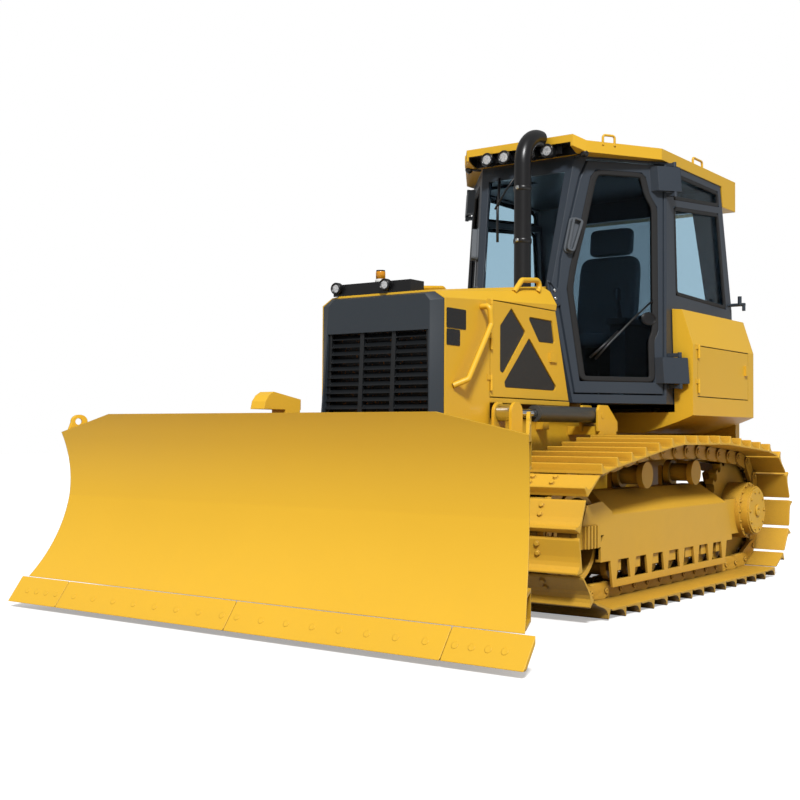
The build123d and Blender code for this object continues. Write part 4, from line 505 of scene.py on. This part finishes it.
# %% [markdown]
# ## The tracks
# A track is a chain of 39 equal steel shoes. Each shoe is a plate with one tall rib, the grouser,
# and it is bolted to two link rails that turn on pins. One shoe could be modelled by hand and
# copied, but every wheel bends the chain differently, so the loop is computed: the pins lie on a
# belt round the wheels, and each shoe is one flat profile set between two neighbouring pins.

# %% Pins along the belt
SHOE_WIDE = 0.610
TRACK_X = 0.882
SHOES = 39
# y, z and pin radius of the idler, the sprocket and the two carrier rollers
WHEELS = np.array([(-0.635, 0.410, 0.313), (1.730, 0.44892, 0.35192), (0.970, 0.717, 0.136),
                   (0.250, 0.717, 0.136)])


def belt_points(wheels, count):
    """Evenly spaced points on a belt that wraps round wheels: straight runs touch two neighbouring
    circles, with the same outward direction at both, and arcs join them."""
    following = np.roll(wheels, -1, 0)
    gap = following[:, :2] - wheels[:, :2]
    span = np.hypot(*gap.T)
    normal = np.arctan2(gap[:, 1], gap[:, 0]) - np.pi / 2 + np.arcsin((wheels[:, 2] - following[:, 2]) / span)
    turn = (np.roll(normal, -1) - normal) % (2 * np.pi)
    share = np.linspace(0, 1, 400)[None, :, None]
    outward = np.stack([np.cos(normal), np.sin(normal)], 1)
    start = wheels[:, :2] + wheels[:, 2:] * outward
    end = following[:, :2] + following[:, 2:] * outward
    runs = start[:, None] * (1 - share) + end[:, None] * share
    angle = normal[:, None] + turn[:, None] * share[..., 0]
    arcs = following[:, None, :2] + following[:, None, 2:] * np.stack([np.cos(angle), np.sin(angle)], -1)
    path = np.concatenate([runs, arcs], 1).reshape(-1, 2)
    step = np.r_[0, np.cumsum(np.hypot(*np.diff(path, axis=0).T))]
    at = np.linspace(0, step[-1], count, endpoint=False)
    return np.stack([np.interp(at, step, path[:, 0]), np.interp(at, step, path[:, 1])], 1)


pins = belt_points(WHEELS, SHOES)
ahead = np.roll(pins, -1, 0) - pins
spacing = np.hypot(*ahead.T)
along_shoe = ahead / spacing[:, None]
out_of_shoe = np.stack([along_shoe[:, 1], -along_shoe[:, 0]], 1)
print("shoe spacing", spacing.min().round(4), "to", spacing.max().round(4))


def on_chain(local, x):
    """Points of one shoe's own (along, out) plane, repeated on every shoe at the cross positions x:
    pin + along times the shoe's direction + out times its outward normal."""
    local = np.asarray(local, float)
    along, out = local[None, :, :1], local[None, :, 1:]
    plane = pins[:, None] + along * along_shoe[:, None] + out * out_of_shoe[:, None]
    crosswise = np.broadcast_to(np.asarray(x, float), (SHOES, len(local)))
    return np.concatenate([crosswise[..., None], plane], -1)


# %% Shoes: a rib profile carried across the track
# along the shoe and out of it, all round the section: leading lip, plate, grouser, and back inside
shoe_section = np.array([(-0.004, 0.0415), (-0.001, 0.047), (0.010, 0.0515), (0.030, 0.052), (0.092, 0.052),
                         (0.118, 0.0555), (0.138, 0.063), (0.151, 0.077), (0.1585, 0.0935), (0.1615, 0.0965),
                         (0.1690, 0.0965), (0.1712, 0.0935), (0.1712, 0.060), (0.1735, 0.0445),
                         (0.168, 0.0405), (0.030, 0.0405)])
LIP_EASE = 0.004


def shoe_loop(side):
    """Every shoe of one track: the section at five cross positions, drawn in a little at both ends."""
    middle = shoe_section.mean(0)
    half = SHOE_WIDE / 2
    stations = ((-half, 0.97), (-half + LIP_EASE, 1.0), (0, 1.0), (half - LIP_EASE, 1.0), (half, 0.97))
    rings = [on_chain(middle + (shoe_section - middle) * draw, side * TRACK_X + offset)
             for offset, draw in stations]
    return joined(*[capped_grid(shoe) for shoe in np.stack(rings, 1)])


# %% Links, pins and bolts
LINK_IN, LINK_THICK, LINK_SHIFT = 0.060, 0.024, 0.014
LINK_NOSE, LINK_REACH, NOSE_SINK = 0.036, 0.175, 0.004


def link_end(along, start, end):
    """Rounded end of a link: an arc about a pin, a little lower than the pin's middle."""
    turn = np.linspace(start, end, 7) * np.pi
    return np.stack([along + LINK_NOSE * np.cos(turn), LINK_NOSE * np.sin(turn) - NOSE_SINK], 1)


link_outline = np.concatenate([
    link_end(0, 0.55, 1.35), [(0.020, -0.048), (0.088, -0.0485), (0.155, -0.048)],
    link_end(LINK_REACH, -0.35, 0.45), [(0.160, 0.0395), (0.088, 0.0395), (0.015, 0.0395)]])


def link_rail(side, face):
    """One rail of links. Each link steps sideways along its length, so that its tail lies outside the
    next link's head: x = inner face + shift times a smooth step of the distance along."""
    share = np.clip((link_outline[:, 0] - 0.055) / 0.065, 0, 1)
    step = share * share * (3 - 2 * share) * LINK_SHIFT
    near = side * TRACK_X + face * (LINK_IN + step)
    rings = np.stack([on_chain(link_outline, near), on_chain(link_outline, near + face * LINK_THICK)], 1)
    return joined(*[capped_grid(one if face > 0 else one[:, ::-1]) for one in rings])


PIN_END = ((0.0165, 0.0), (0.0165, 0.005), (0.0140, 0.007), (0.0075, 0.007), (0.0065, 0.003))
BUSHING_R, BUSHING_HALF = 0.029, 0.058
BOLT_ALONG, BOLT_ACROSS, BOLT_OUT, BOLT_SIZE = (0.034, 0.082), 0.066, 0.0515, 0.0135


def chain_pins(side):
    """Pin ends outside the link rails, and a bushing between them."""
    shapes = []
    pin_x = LINK_IN + LINK_THICK + LINK_SHIFT - 0.001
    for face in (-1, 1):
        centre = np.column_stack([np.full(SHOES, side * TRACK_X + face * pin_x), pins])
        shapes.append(stamp(turned(PIN_END, *UPRIGHT, 12), centre, np.tile((face, 0, 0), (SHOES, 1))))
    bushing = turned(((BUSHING_R, -BUSHING_HALF), (BUSHING_R, BUSHING_HALF)), *UPRIGHT, 12)
    centre = np.column_stack([np.full(SHOES, side * TRACK_X), pins])
    shapes.append(stamp(bushing, centre, np.tile((1, 0, 0), (SHOES, 1))))
    return joined(*shapes)


def shoe_bolts(side):
    """Four bolt heads on the outer face of each shoe, over the rails."""
    normal = np.column_stack([np.zeros(SHOES), out_of_shoe])
    shapes = []
    for along in BOLT_ALONG:
        for face in (-1, 1):
            centre = on_chain([(along, BOLT_OUT)], side * TRACK_X + face * BOLT_ACROSS)[:, 0]
            shapes.append(stamp(bolt_shape(BOLT_SIZE), centre, normal))
    return joined(*shapes)


for side, hand in SIDES:
    shoes = new_piece(f"track_shoes_{hand}", *shoe_loop(side), track_yellow, "machine", False, "track_paint")
    links = new_piece(f"track_links_{hand}", *joined(link_rail(side, 1), link_rail(side, -1)), track_yellow,
                      "machine", False, "track_paint")
    new_piece(f"track_pins_{hand}", *chain_pins(side), track_yellow, "machine", True, "track_paint")
    new_piece(f"track_bolts_{hand}", *shoe_bolts(side), track_yellow, "machine", False, "track_paint")
    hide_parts(f"track_{hand}")
    print(hand, "track:", len(shoes.data.polygons), "faces of shoes,", len(links.data.polygons), "of links")

# %% [markdown]
# ## Hood: screens and plates
# The engine doors breathe through punched steel screens that lie in three shallow recesses. The
# holes are far too many to model, so each screen is a thin real plate, and its holes are a regular
# pattern of cells in its material, sunk by a bump. Each cell's middle is near black: painted shade
# for the dark inside that is seen through a hole.

# %% Punched screen material
HOLES_A_METRE = 150
screen_steel = bare_material("punched_screen", srgb(56, 55, 54), 0.55)
tree = screen_steel.node_tree
where = add_node(tree, "TexCoord").outputs["Object"]
holes = add_node(tree, "TexVoronoi", {"Vector": where, "Scale": HOLES_A_METRE, "Randomness": 0.0})
mask = add_node(tree, "MapRange", {"Value": holes.outputs["Distance"], "From Min": 0.28, "From Max": 0.42})
# painted shade: near black in each hole, for the dark inside behind the screen
mix = feed(add_node(tree, "Mix", data_type="RGBA"),
           {"Factor": mask.outputs["Result"], "A": srgb(16, 16, 16), "B": srgb(50, 49, 48)})
bump = add_node(tree, "Bump", {"Strength": 0.5, "Distance": 0.001, "Height": mask.outputs["Result"]})
feed(shader_of(screen_steel), {"Base Color": mix.outputs["Result"], "Normal": bump.outputs["Normal"]})
print("holes every", round(1000 / HOLES_A_METRE, 1), "mm")

# %% Screens in the engine doors
HOOD_X = 0.420
SCREEN_CORNER, SCREEN_ROOM, SCREEN_OUT = 0.02, 0.003, (-0.0088, -0.0055)
SCREENS = (((-0.365, 1.672), (-0.203, 1.543), (-0.447, 1.290), (-0.487, 1.304), (-0.487, 1.562)),
           ((-0.163, 1.514), (0.166, 1.238), (0.142, 1.213), (-0.430, 1.213), (-0.440, 1.245)),
           ((-0.182, 1.638), (0.110, 1.635), (0.143, 1.498), (-0.046, 1.496)))
for side, hand in SIDES:
    shapes = [plate(inset_outline(rounded_outline(outline, SCREEN_CORNER), SCREEN_ROOM), *SCREEN_OUT,
                    upright_place(side, HOOD_X)) for outline in SCREENS]
    new_piece(f"door_screens_{hand}", *joined(*shapes), screen_steel, f"engine_door_{hand}", False,
              "black_paint")
print(2 * len(SCREENS), "screens")

# %% Blank plates on the nose's sides
PLATE_CORNER, PLATE_THICK = 0.010, 0.003
BLANK_PLATES = ((-1.029, -0.842, 1.510, 1.618), (-1.028, -0.900, 1.419, 1.506))      # y and z, from and to


def rectangle(u0, u1, v0, v1):
    """Corners of an upright rectangle, in order round it."""
    return [(u0, v0), (u1, v0), (u1, v1), (u0, v1)]


for side, hand in SIDES:
    shapes = [plate(rounded_outline(rectangle(*bounds), PLATE_CORNER), 0.0, PLATE_THICK,
                    upright_place(side, HOOD_X)) for bounds in BLANK_PLATES]
    new_piece(f"blank_plates_{hand}", *joined(*shapes), gloss_black, "machine", False, "black_paint")
print(2 * len(BLANK_PLATES), "plates")

# %% [markdown]
# ## Lamps
# A work lamp is a bowl of facetted mirror behind clear glass, in a black housing. The facets are
# in the material: small cells with a painted highlight, near white in each middle and grey at the
# rim, and a bump that tips them.

# %% Lamp reflector material
FACETS_A_METRE = 130
reflector = bare_material("lamp_reflector", srgb(236, 238, 240), 0.22, 0.35)
tree = reflector.node_tree
where = add_node(tree, "TexCoord").outputs["Object"]
facets = add_node(tree, "TexVoronoi", {"Vector": where, "Scale": FACETS_A_METRE})
# painted highlight: near white in each facet's middle, grey towards its rim
mix = feed(add_node(tree, "Mix", data_type="RGBA"),
           {"Factor": facets.outputs["Distance"], "A": srgb(250, 250, 250), "B": srgb(170, 174, 180)})
bump = add_node(tree, "Bump", {"Strength": 0.5, "Distance": 0.004, "Height": facets.outputs["Distance"]})
feed(shader_of(reflector), {"Base Color": mix.outputs["Result"], "Normal": bump.outputs["Normal"]})
print("facets about every", round(1000 / FACETS_A_METRE, 1), "mm")

# %% Lamps on the nose and under the visor
NOSE_LAMPS = [(x, -1.058, 1.760, 0.030) for x in (-0.310, 0.030)]                    # x, y, z and radius
VISOR_LAMPS = [(x, 0.389, 2.749, 0.040) for x in (-0.224, -0.095, 0.095, 0.224)]
# profiles as (share of the radius, height)
BEZEL = ((0.80, 0), (0.86, 0.008), (1.0, 0.010), (1.12, 0.004), (1.14, -0.022), (1.0, -0.030))
BOWL = ((0.0, 0.0045), (0.4, 0.0042), (0.7, 0.0028), (0.86, 0.0005), (0.86, -0.001))
POLE = 0.0005                # smallest radius of a turned profile, which closes it without a pinch


def lamp_part(profile, x, y, z, radius):
    """A profile scaled to a lamp's radius and spun round the lamp's axis, which points forward."""
    scaled = [(max(share * radius, POLE), height) for share, height in profile]
    return turned(scaled, (x, y, z), (0, -1, 0), 24)


for name, profile, material in (("lamp_housings", BEZEL, black), ("lamp_reflectors", BOWL, reflector)):
    shapes = [lamp_part(profile, *lamp) for lamp in NOSE_LAMPS + VISOR_LAMPS]
    new_piece(name, *joined(*shapes), material, "machine", True, "black_paint")
print(len(NOSE_LAMPS + VISOR_LAMPS), "lamps")

# %% [markdown]
# The hollow under the visor lies in shadow, so black sheet lines it as painted shade. Four thin
# plates line its back, its roof and its two ends.

# %% Visor hollow: black plates as painted shade
SHADE_THICK, SHADE_EASE = 0.003, 0.0005
HOLLOW_HALF, HOLLOW_BACK, HOLLOW_TOP, HOLLOW_END = 0.379, 0.5115, 2.7885, 0.379
back = rectangle(-HOLLOW_HALF, HOLLOW_HALF, 2.7312, 2.7865)                     # in x and z
roof = rectangle(-HOLLOW_HALF, HOLLOW_HALF, 0.4135, 0.508)                      # in x and y
end = [(0.4135, 2.765), (0.508, 2.7315), (0.508, 2.7855), (0.4135, 2.7855)]     # in y and z
shade_plates = [plate(back, 0, SHADE_THICK, lambda x, z, out: np.stack([x, HOLLOW_BACK - out, z], -1), SHADE_EASE),
           plate(roof, 0, SHADE_THICK, lambda x, y, out: np.stack([x, y, HOLLOW_TOP - out], -1), SHADE_EASE)]
for side, hand in SIDES:
    shade_plates.append(plate(end, -0.0035, -0.0005, upright_place(side, HOLLOW_END), SHADE_EASE))
# black plates for the shadow in the hollow: painted shade
new_piece("visor_shade_sheet", *joined(*shade_plates), black, "machine", False, "black_paint")
print(len(shade_plates), "shade_plates")

# %% The amber beacon on the nose
BEACON_AT = (-0.070, -0.960, 1.7825)
COLLAR = ((0.030, 0), (0.031, 0.014), (0.027, 0.024), (0.0262, 0.024))
DOME = ((0.0265, 0.022), (0.0268, 0.060), (0.024, 0.070), (0.016, 0.0745), (0.002, 0.0755))
new_piece("beacon_collar", *turned(COLLAR, BEACON_AT, (0, 0, 1)), white_plastic, "machine")
new_piece("beacon_dome", *turned(DOME, BEACON_AT, (0, 0, 1)), amber, "machine")
print(len(pieces_made), "pieces so far")

# %% [markdown]
# ## Cab: rubber, wipers, handles
# Every pane sits in a black rubber, and a band of black print hides its glue. Both are one raised
# band here, wider on the door.

# %% Rubbers of the door and side panes
PANE_CORNER, RUBBER_IN, RUBBER_OUT = 0.05, -0.012, 0.003
DOOR_PANE = ((0.476, 1.286), (0.440, 1.868), (0.466, 2.010), (0.542, 2.307), (0.612, 2.600), (0.645, 2.650),
             (0.900, 2.650), (0.924, 2.620), (0.938, 2.510), (0.976, 2.425), (0.930, 1.618), (0.903, 1.553),
             (0.893, 1.286))
SIDE_PANES = (((1.150, 2.500), (1.150, 2.686), (1.925, 2.686), (1.945, 2.575)),
              ((1.142, 1.868), (1.142, 2.456), (1.922, 2.528), (2.020, 1.850)))


def seal(pane, width, place):
    """Rubber band of a width inside a pane's rounded outline."""
    return band(rounded_outline(pane, PANE_CORNER), width, RUBBER_IN, RUBBER_OUT, place)


for side, hand in SIDES:
    new_piece(f"door_rubber_{hand}", *seal(DOOR_PANE, 0.034, door_place(side)), rubber, f"cab_door_{hand}",
              False, "black_plastic")
    seals = [seal(pane, 0.026, wall_place(side)) for pane in SIDE_PANES]
    new_piece(f"side_rubbers_{hand}", *joined(*seals), rubber, "machine", False, "black_plastic")
print(2 * (1 + len(SIDE_PANES)), "rubbers")

# %% [markdown]
# The door has a deep grip, a plate over its latch with two bright bolts, and a wiper. The wiper's
# motor is a drum on the glass, and from it an arm carries the rubber blade.

# %% Door handles, latch plates and wipers
GRIP = rounded_outline([(0.440, 2.109), (0.480, 2.095), (0.544, 2.303), (0.487, 2.323)], 0.022)
LATCH = rounded_outline([(0.331, 1.925), (0.393, 1.865), (0.401, 1.756), (0.336, 1.745)], 0.025)
LATCH_BOLTS, LATCH_BOLTS_OUT = ((0.366, 1.850), (0.368, 1.800)), 0.020
LATCH_BOLT = ((0.011, 0), (0.011, 0.006), (0.007, 0.009), (0.001, 0.0095))
WIPER_MOTOR, MOTOR_R = (0.880, 1.697), 0.042
# y, z and distance out of the door
WIPER_ARM = np.array([(0.906, 1.815, 0.010), (0.780, 1.685, 0.024), (0.640, 1.525, 0.026),
                      (0.564, 1.427, 0.016)])
WIPER_BLADE = np.array([(0.700, 1.605, 0.014), (0.620, 1.522, 0.020), (0.537, 1.437, 0.014)])
for side, hand in SIDES:
    place, door = door_place(side), f"cab_door_{hand}"
    grip = joined(plate(inset_outline(GRIP, -0.008), 0.0, 0.012, place),
                  band(GRIP, 0.013, 0.010, 0.046, place),
                  plate(inset_outline(GRIP, 0.012), 0.008, 0.018, place))
    new_piece(f"door_grip_{hand}", *grip, cab_plastic, door, False, "black_plastic")
    tab = joined(plate(LATCH, 0.0, 0.016, place), plate(inset_outline(LATCH, 0.012), 0.014, 0.022, place))
    new_piece(f"latch_plate_{hand}", *tab, slate, door, False, "frame_grey")
    bolts = [place(np.array([y]), np.array([z]), np.array([LATCH_BOLTS_OUT]))[0] for y, z in LATCH_BOLTS]
    heads = stamp(turned(LATCH_BOLT, *UPRIGHT, 12), bolts, [DOOR_OUT * (side, 1, 1)] * 2)
    new_piece(f"latch_bolts_{hand}", *heads, zinc, door, True, "rod_chrome")
    drum = plate(oval(*WIPER_MOTOR, MOTOR_R, 28), -0.004, 0.006, place)
    ring = band(oval(*WIPER_MOTOR, MOTOR_R - 0.006, 28), 0.004, 0.004, 0.010, place)
    arm, blade_rod = tube(place(*WIPER_ARM.T), 0.006, 8), tube(place(*WIPER_BLADE.T), 0.0085, 8)
    new_piece(f"door_wiper_{hand}", *joined(drum, ring, arm, blade_rod), black, door, True, "black_paint")
print(len(pieces_made), "pieces so far")

# %% The windscreen's wiper
# x, z and distance out of the glass
SCREEN_ARM = np.array([(-0.043, 2.677, 0.020), (-0.120, 2.550, 0.034), (-0.192, 2.426, 0.030)])
SCREEN_BLADE = np.array([(-0.192, 2.640, 0.016), (-0.175, 2.426, 0.024), (-0.152, 2.204, 0.016)])
SPINDLE, SPINDLE_OUT = ((0.018, 0), (0.018, 0.018), (0.010, 0.024)), 0.004
hub = screen_place(*np.append(SCREEN_ARM[0, :2], SPINDLE_OUT))
screen_wiper = joined(tube(screen_place(*SCREEN_ARM.T), 0.007, 8),
                      tube(screen_place(*SCREEN_BLADE.T), 0.009, 8),
                      turned(SPINDLE, hub, (0, -1, 0), 14))
new_piece("screen_wiper", *screen_wiper, black, "machine", True, "black_paint")
print("wiper hub at", hub.round(3))

# %% Marker balls on stalks beside the visor
BALL_R, STALK_R = 0.026, 0.008
STALK = ((0.350, 0.520, 2.716), (0.395, 0.508, 2.722), (0.430, 0.500, 2.728))
BALL_AT = (0.434, 0.500, 2.728)


def knob_profile(radius, half):
    """Half an ellipse from pole to pole: (radius sin a + a hair, -half cos a)."""
    angle = np.linspace(0, np.pi, 9)
    return np.stack([radius * np.sin(angle) + 0.0004, -half * np.cos(angle)], 1)


balls = []
for side, hand in SIDES:
    balls.append(turned(knob_profile(BALL_R, BALL_R), np.multiply(BALL_AT, (side, 1, 1)), (side, 0, 0), 18))
    balls.append(tube(np.multiply(STALK, (side, 1, 1)), STALK_R, 8))
new_piece("marker_balls", *joined(*balls), black, "machine", True, "black_paint")
print(len(balls) // 2, "marker balls")

# %% [markdown]
# ## Exhaust clamps
# The stack is held to a bracket by two band clamps, each drawn up by one bright bolt.

# %% Clamps
STACK_X, STACK_Y, STACK_R = 0.180, 0.165, 0.053
CLAMPS_Z = (2.147, 2.474)
# distance out of the stack, and height
CLAMP_RIM = ((-0.001, -0.016), (0.004, -0.014), (0.005, 0.0), (0.004, 0.014), (-0.001, 0.016))
CLAMP_BOLT = ((0.012, 0), (0.012, 0.008), (0.006, 0.011), (0.001, 0.0115))
rim = [(STACK_R + out, height) for out, height in CLAMP_RIM]
clamps = [turned(rim, (STACK_X, STACK_Y, z), (0, 0, 1), 28) for z in CLAMPS_Z]
new_piece("stack_clamps", *joined(*clamps), black, "machine", True, "black_paint")
bolts = [(STACK_X - 0.004, STACK_Y - STACK_R - 0.003, z) for z in CLAMPS_Z]
heads = stamp(turned(CLAMP_BOLT, *UPRIGHT, 12), bolts, [(0, -1, 0)] * 2)
new_piece("stack_clamp_bolts", *heads, zinc, "machine", True, "rod_chrome")
print(len(clamps), "clamps")

# %% [markdown]
# ## Blade edges
# The blade wears on bolted steel strips: two long cutting edges and an end bit at each side.
# They are separate bars with a hair of room between them, held by bolts whose heads lie flush.

# %% Cutting edges and end bits
EDGE_TIP, EDGE_TOP = np.array([-2.250, 0.029]), np.array([-2.1543, 0.158])     # y and z of the front face
EDGE_SPLITS, EDGE_HALF = (-1.216, 0.0, 1.216), 1.611
HAIR, END_EASE, END_DRAW = 0.0015, 0.0025, 0.86      # room at a bar's end, its eased length, its smaller end
edge_run = (EDGE_TOP - EDGE_TIP) / np.linalg.norm(EDGE_TOP - EDGE_TIP)
edge_section = np.array([EDGE_TIP, EDGE_TOP - edge_run * 0.003, EDGE_TOP + (0.0, -0.004),
                         (EDGE_TOP[0], 0.128), EDGE_TIP + (0.022, 0.0)])
middle = edge_section.mean(0)
edge_ends = [-EDGE_HALF, *EDGE_SPLITS, EDGE_HALF]
bars = []
for start, end in zip(edge_ends, edge_ends[1:]):
    stations = ((start + HAIR, END_DRAW), (start + HAIR + END_EASE, 1), (end - HAIR - END_EASE, 1),
                (end - HAIR, END_DRAW))
    rings = [np.column_stack([np.full(len(edge_section), x), middle + (edge_section - middle) * draw])
             for x, draw in stations]
    bars.append(capped_grid(np.stack(rings)))
edges = new_piece("blade_edge_bars", *joined(*bars), yellow, "blade", False, "edge_paint")
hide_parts("blade_edges")
print(len(bars), "bars")

# %% Bolts of the edges
EDGE_BOLT_FIRST, EDGE_BOLT_STEP, EDGE_BOLT_Y, EDGE_BOLT_Z = 0.048, 0.1525, -2.2045, 0.0905
END_BIT_BOLTS = [1.261, 1.342, 1.421, 1.498]
FLUSH_HEAD = ((0.017, -0.002), (0.017, 0.0008), (0.015, 0.0016), (0.012, 0.0004), (0.001, 0.0006))
half_row = [EDGE_BOLT_FIRST + EDGE_BOLT_STEP * k for k in range(8)] + END_BIT_BOLTS
bolt_at = np.array([(x, EDGE_BOLT_Y, EDGE_BOLT_Z) for x in half_row + [-x for x in half_row]])
edge_out = np.array([0, -edge_run[1], edge_run[0]])
heads = stamp(turned(FLUSH_HEAD, *UPRIGHT, 16), bolt_at, np.tile(edge_out, (len(bolt_at), 1)))
new_piece("blade_edge_bolts", *heads, yellow, "blade", True, "edge_paint")
print(len(bolt_at), "edge bolts")

# %% [markdown]
# ## Final drives
# The drum at the back of each track hides reduction gears. Two rings of bolts close it, one on
# its flange and one on its cap, and the cap has an oil plug in its middle.

# %% Hub bolts
HUB_Y, HUB_Z, HUB_BOLT = 1.730, 0.449, 0.0085
HUB_RINGS = ((16, 1.040, 0.1752), (10, 1.096, 0.128))     # bolts, x and ring radius
PLUG_X = 1.096
PLUG = ((0.040, 0), (0.040, 0.008), (0.034, 0.012), (0.014, 0.012), (0.012, 0.006), (0.001, 0.006))
hub_shapes = []
for side, hand in SIDES:
    for count, x, radius in HUB_RINGS:
        ring = np.column_stack([np.full(count, side * x), oval(HUB_Y, HUB_Z, radius, count)])
        hub_shapes.append(stamp(bolt_shape(HUB_BOLT), ring, np.tile((side, 0, 0), (count, 1))))
    hub_shapes.append(turned(PLUG, (side * PLUG_X, HUB_Y, HUB_Z), (side, 0, 0), 28))
new_piece("hub_bolts", *joined(*hub_shapes), track_yellow, "machine", False, "yellow_paint")
print(len(pieces_made), "pieces so far")

# %% [markdown]
# ## The seat
# A sprung seat is foam under stretched cloth. Its cushions are crowned in the middle and pinched
# along the piping, so each is a rounded box whose thickness swells towards its centre, with a
# narrow dip where two panels of cloth are sewn together. Blender's cloth solver could blow up a
# flat bag to the same form; the formula gives it in one step and keeps it within the seat's frame.

# %% Cushions


def pillow(half, seams=(), rows=30, columns=56, corner=0.30, crown=0.55):
    """Closed cushion. With cp(a) = sign(cos a)|cos a|^corner and sp the same of sin, a point is
    (hx cp(v) r, hy sp(v) r, hz sin(u)^crown), r = cp(u). Each seam thins it by 14% over a few millimetres."""
    u = np.linspace(-np.pi / 2 + 0.02, np.pi / 2 - 0.02, rows)[:, None]
    v = np.linspace(0, 2 * np.pi, columns, endpoint=False)[None, :]

    def power(value, exponent):
        return np.sign(value) * np.abs(value) ** exponent

    reach = power(np.cos(u), corner)
    x = half[0] * power(np.cos(v), corner) * reach
    y = half[1] * power(np.sin(v), corner) * reach
    thick = half[2] * power(np.sin(u), crown) + 0 * v
    for seam in seams:
        thick = thick * (1 - 0.14 * np.exp(-((x - seam) / 0.006) ** 2))
    return np.stack([x, y, thick], -1)


def laid(grid, centre, lean):
    """Cushion turned about the x axis by a lean, then carried to its centre."""
    cos, sin = math.cos(lean), math.sin(lean)
    turn = np.array([[1, 0, 0], [0, cos, sin], [0, -sin, cos]])
    return capped_grid(grid @ turn + np.asarray(centre))


seat_low, seat_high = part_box("seat")
# name, half sizes, seams, centre, lean as rise over run, and how full of foam it is
CUSHIONS = (
    ("seat_cushion", (seat_high[0] - 0.003, 0.246, 0.052), (-0.13, 0.13), (0, 1.430, 1.606), (0, 1), 0.7),
    ("seat_back", (0.236, 0.300, 0.050), (-0.12, 0.12), (0, 1.706, 1.955), (0.610, 0.085), 0.6),
    ("seat_head", (0.168, 0.100, 0.037), (), (0, 1.759, 2.362), (0.21, 0.02), 0.6))
for name, half, seams, centre, slope, fill in CUSHIONS:
    shape = laid(pillow(half, seams), centre, math.atan2(*slope))
    made = new_piece(name, *shape, seat_cloth, "machine", True, "seat_fabric")
    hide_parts("seat")
print(len(CUSHIONS), "cushions")

# %% The seat's base
BASE_HALF, BASE_FRONT, BASE_BACK, BASE_TOP, BASE_CORNER = 0.166, 1.235, 1.635, 1.552, 0.03
base_outline = rounded_outline(rectangle(-BASE_HALF, BASE_HALF, BASE_FRONT, BASE_BACK), BASE_CORNER)
base = plate(base_outline, seat_low[2], BASE_TOP, lambda x, y, z: np.stack([x, y, z], -1), 0.004)
made = new_piece("seat_base", *base, black, "machine", False, "black_plastic")
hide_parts("seat")
print("seat base", round(BASE_TOP - seat_low[2], 3), "m tall")

# %% Knobs on the levers at both sides of the seat
LEVER_X, LEVER_Y, LEVER_Z = 0.345, 1.146, 1.915
knobs = [turned(knob_profile(0.027, 0.034), (side * LEVER_X, LEVER_Y, LEVER_Z), (0, -0.1, 1), 16)
         for side, hand in SIDES]
new_piece("lever_knobs", *joined(*knobs), cab_plastic, "machine", True, "black_plastic")
print(len(pieces_made), "pieces with the seat")

# %% [markdown]
# ## Light and floor
# A soft sun from the front and a pale sky all round keep the colours close to the way they are
# written. The sky is white to the camera and through glass, and dimmer where it lights or is
# mirrored. The floor glows a little for the camera, and is darker where light bounces off it,
# or it would fill the dark places under the machine.

# %% World, sun and floor
SKY_LIGHT, SUN_STRENGTH = 0.34, 3.05
SUN_SPREAD = 9                       # degrees across: a wide sun casts soft shadows
SUN_WAY = Vector((-0.50, 0.66, -0.74))
FLOOR_HALF, FLOOR_DROP = 40, 0.002

world = bpy.data.worlds.new("studio")
bpy.context.scene.world = world
world.use_nodes = True
sky = world.node_tree
seen = add_node(sky, "LightPath").outputs
looked_at = add_node(sky, "Math", {0: seen["Is Camera Ray"], 1: seen["Is Transmission Ray"]},
                     operation="MAXIMUM")
strength = add_node(sky, "MapRange", {"Value": looked_at.outputs[0], "To Min": SKY_LIGHT, "To Max": 1.0})
feed(sky.nodes["Background"], {"Color": (1, 1, 1, 1), "Strength": strength.outputs["Result"]})

sun_data = bpy.data.lights.new("sun", "SUN")
sun_data.energy = SUN_STRENGTH
sun_data.angle = math.radians(SUN_SPREAD)
sun = bpy.data.objects.new("sun", sun_data)
bpy.context.scene.collection.objects.link(sun)
sun.rotation_euler = SUN_WAY.to_track_quat("-Z", "Y").to_euler()

floor_paint = bare_material("pale_floor", (0.92, 0.92, 0.92, 1), 0.9, Specular_IOR_Level=0.0)
tree = floor_paint.node_tree
seen = add_node(tree, "LightPath").outputs
bounce = feed(add_node(tree, "Mix", data_type="RGBA"),
              {"Factor": seen["Is Diffuse Ray"], "A": (0.90, 0.90, 0.90, 1), "B": (0.26, 0.25, 0.23, 1)})
glow = add_node(tree, "Math", {0: seen["Is Camera Ray"], 1: 0.36}, operation="MULTIPLY")
feed(shader_of(floor_paint), {"Base Color": bounce.outputs["Result"], "Emission Color": (1, 1, 1, 1),
                              "Emission Strength": glow.outputs[0]})
corners = [(-1, -1), (1, -1), (1, 1), (-1, 1)]
floor_mesh = bpy.data.meshes.new("floor")
floor_mesh.from_pydata([(x * FLOOR_HALF, y * FLOOR_HALF, 0) for x, y in corners], [], [(0, 1, 2, 3)])
floor_mesh.materials.append(floor_paint)
floor = bpy.data.objects.new("floor", floor_mesh)
bpy.context.scene.collection.objects.link(floor)
floor.location.z = -FLOOR_DROP

bpy.context.scene.view_settings.view_transform = "Standard"
